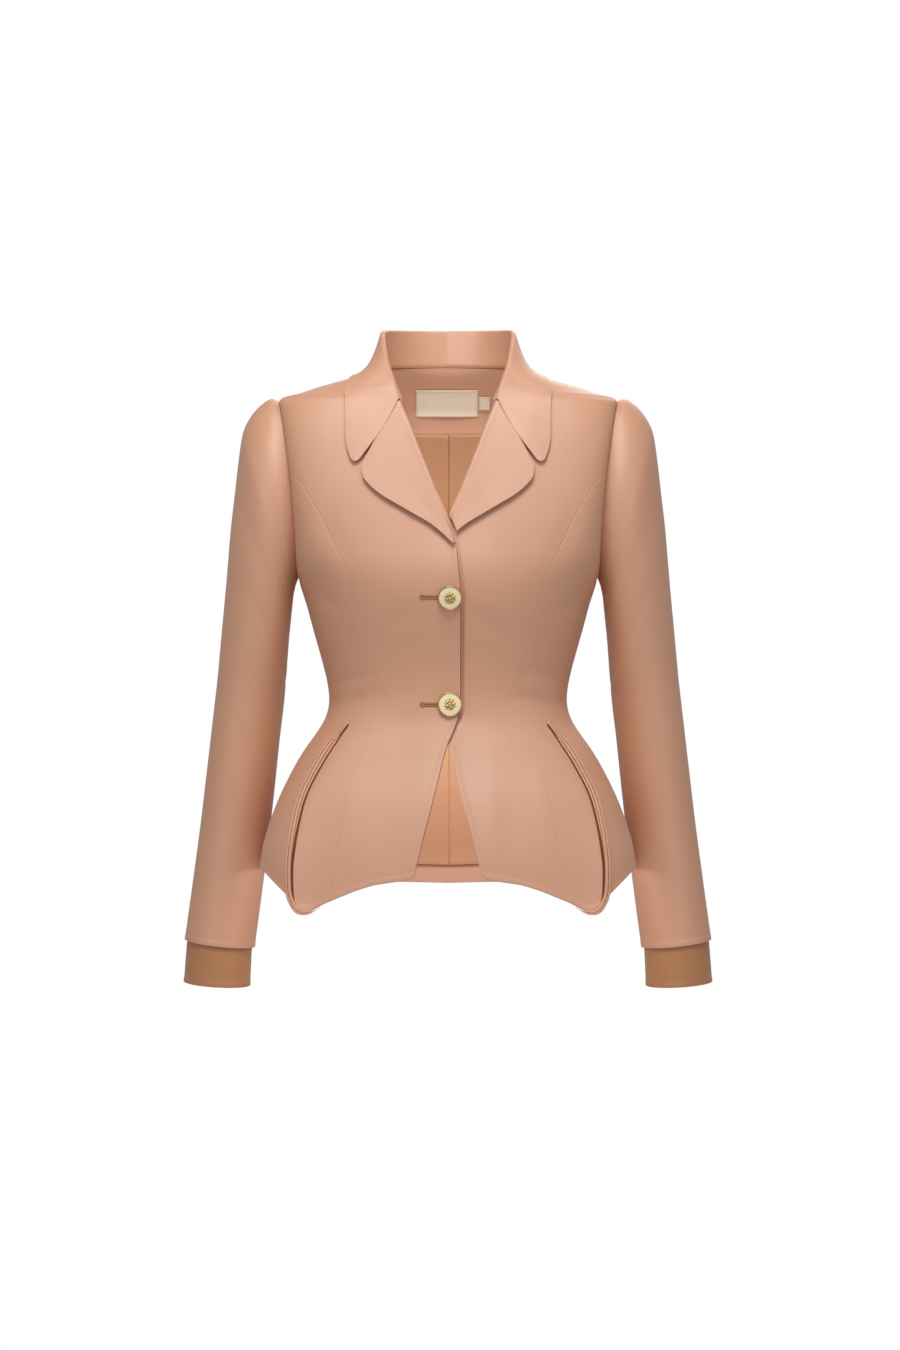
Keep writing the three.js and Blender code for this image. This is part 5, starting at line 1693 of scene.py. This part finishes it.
def on_front(x, z, turn):
    """One short thread bar on the right front's surface, its long side turned from the horizontal."""
    points, faces = ball((0, 0, 0), (1.25, THREAD_RADIUS, THREAD_RADIUS), math.radians(turn), 10)
    angle = angle_at(RIGHT_FRONT, -x, z)
    seat = lifted_point(RIGHT_FRONT, angle, z, 0.1)
    normal = body_normal(RIGHT_FRONT, angle, z)
    across = unit(np.cross(normal, [0, 0, 1.0]))
    across = across * np.sign(across[0])
    up = np.cross(normal, across)
    up = up * np.sign(up[2])
    return seat + points @ np.stack([across, up, normal]), faces


for button_name, button_level in BUTTON_LEVELS.items():
    make_buttonhole(button_name, button_level)


# Camera, light and floor


CAMERA_PLACE = (0.00216, -3.0, -0.3316)
CAMERA_LENS = 74.07  # so that the part's size in the picture is the photograph's


def put(name, data, location):
    obj = bpy.data.objects.new(name, data)
    obj.location = location
    bpy.context.scene.collection.objects.link(obj)
    return obj


def make_camera():
    camera = bpy.data.cameras.new("camera")
    camera.sensor_fit = "VERTICAL"
    camera.sensor_height = 36
    camera.lens = CAMERA_LENS
    obj = put("camera", camera, CAMERA_PLACE)
    obj.rotation_euler = (math.radians(90), 0, 0)
    bpy.context.scene.camera = obj


def new_light(name, kind, power, colour):
    light = bpy.data.lights.new(name, kind)
    light.energy = power
    light.color = colour
    return light


def area_light(name, location, target, size, power, colour=(1, 1, 1)):
    light = new_light(name, "AREA", power, colour)
    light.shape = "DISK"
    light.size = size
    obj = put(name, light, location)
    obj.rotation_euler = (Vector(target) - obj.location).to_track_quat("-Z", "Y").to_euler()


def inner_glow(name, location, power, colour=(1, 0.97, 0.93)):
    """A small soft light inside the hollow body, where the studio's own light hardly reaches."""
    light = new_light(name, "POINT", power, colour)
    light.shadow_soft_size = 0.045
    put(name, light, location).visible_camera = False


def make_lights():
    area_light("key", (-0.08, -1.25, 1.35), (0, 0, -0.25), 0.9, 28, (1, 0.985, 0.97))
    for side in (-1, 1):
        area_light(f"side_fill_{side + 1}", (1.5 * side, -2.4, 0.1), (0, 0, -0.35), 1.2, 8, (1, 0.99, 0.98))
    area_light("back", (0.6, 2.6, 1.6), (0, 0, -0.3), 2.0, 30)
    inner_glow("neck_glow", (0, -0.02, -0.12), 0.12)
    inner_glow("hem_glow", (0, -0.03, -0.46), 0.74, (0.95, 0.99, 1.07))


def make_world():
    world = bpy.data.worlds.new("studio")
    world.use_nodes = True
    tree = world.node_tree
    tree.nodes.clear()
    output = node(tree, "ShaderNodeOutputWorld")
    seen = node(tree, "ShaderNodeBackground", Color=(1, 1, 1, 1), Strength=1.0)
    soft = node(tree, "ShaderNodeBackground", Color=(1, 0.985, 0.97, 1), Strength=0.37)
    path = node(tree, "ShaderNodeLightPath")
    mix = node(tree, "ShaderNodeMixShader")
    for start, end in zip((path.outputs["Is Camera Ray"], soft.outputs[0], seen.outputs[0]), mix.inputs):
        tree.links.new(start, end)
    tree.links.new(mix.outputs[0], output.inputs[0])
    bpy.context.scene.world = world


FLOOR_RADIUS = 1200
FLOOR_HEIGHT = -1400.0
FLOOR_SIDES = 96


def make_floor():
    material, tree, shader = principled("floor", (0.86, 0.85, 0.84), 0.9)
    place = node(tree, "ShaderNodeTexCoord").outputs["Object"]
    grain = node(tree, "ShaderNodeTexNoise", Vector=place, Scale=30.0).outputs["Fac"]
    relief = node(tree, "ShaderNodeBump", Strength=0.05, Height=grain)
    tree.links.new(relief.outputs["Normal"], shader.inputs["Normal"])
    turn = np.linspace(0, 2 * np.pi, FLOOR_SIDES, endpoint=False)
    height = np.full(FLOOR_SIDES, FLOOR_HEIGHT)
    points = np.stack([FLOOR_RADIUS * np.cos(turn), FLOOR_RADIUS * np.sin(turn), height], axis=-1)
    mesh_object("floor", points, [tuple(range(FLOOR_SIDES))], [material])


make_camera()
make_lights()
make_world()
make_floor()
bpy.context.scene.view_settings.view_transform = "Standard"
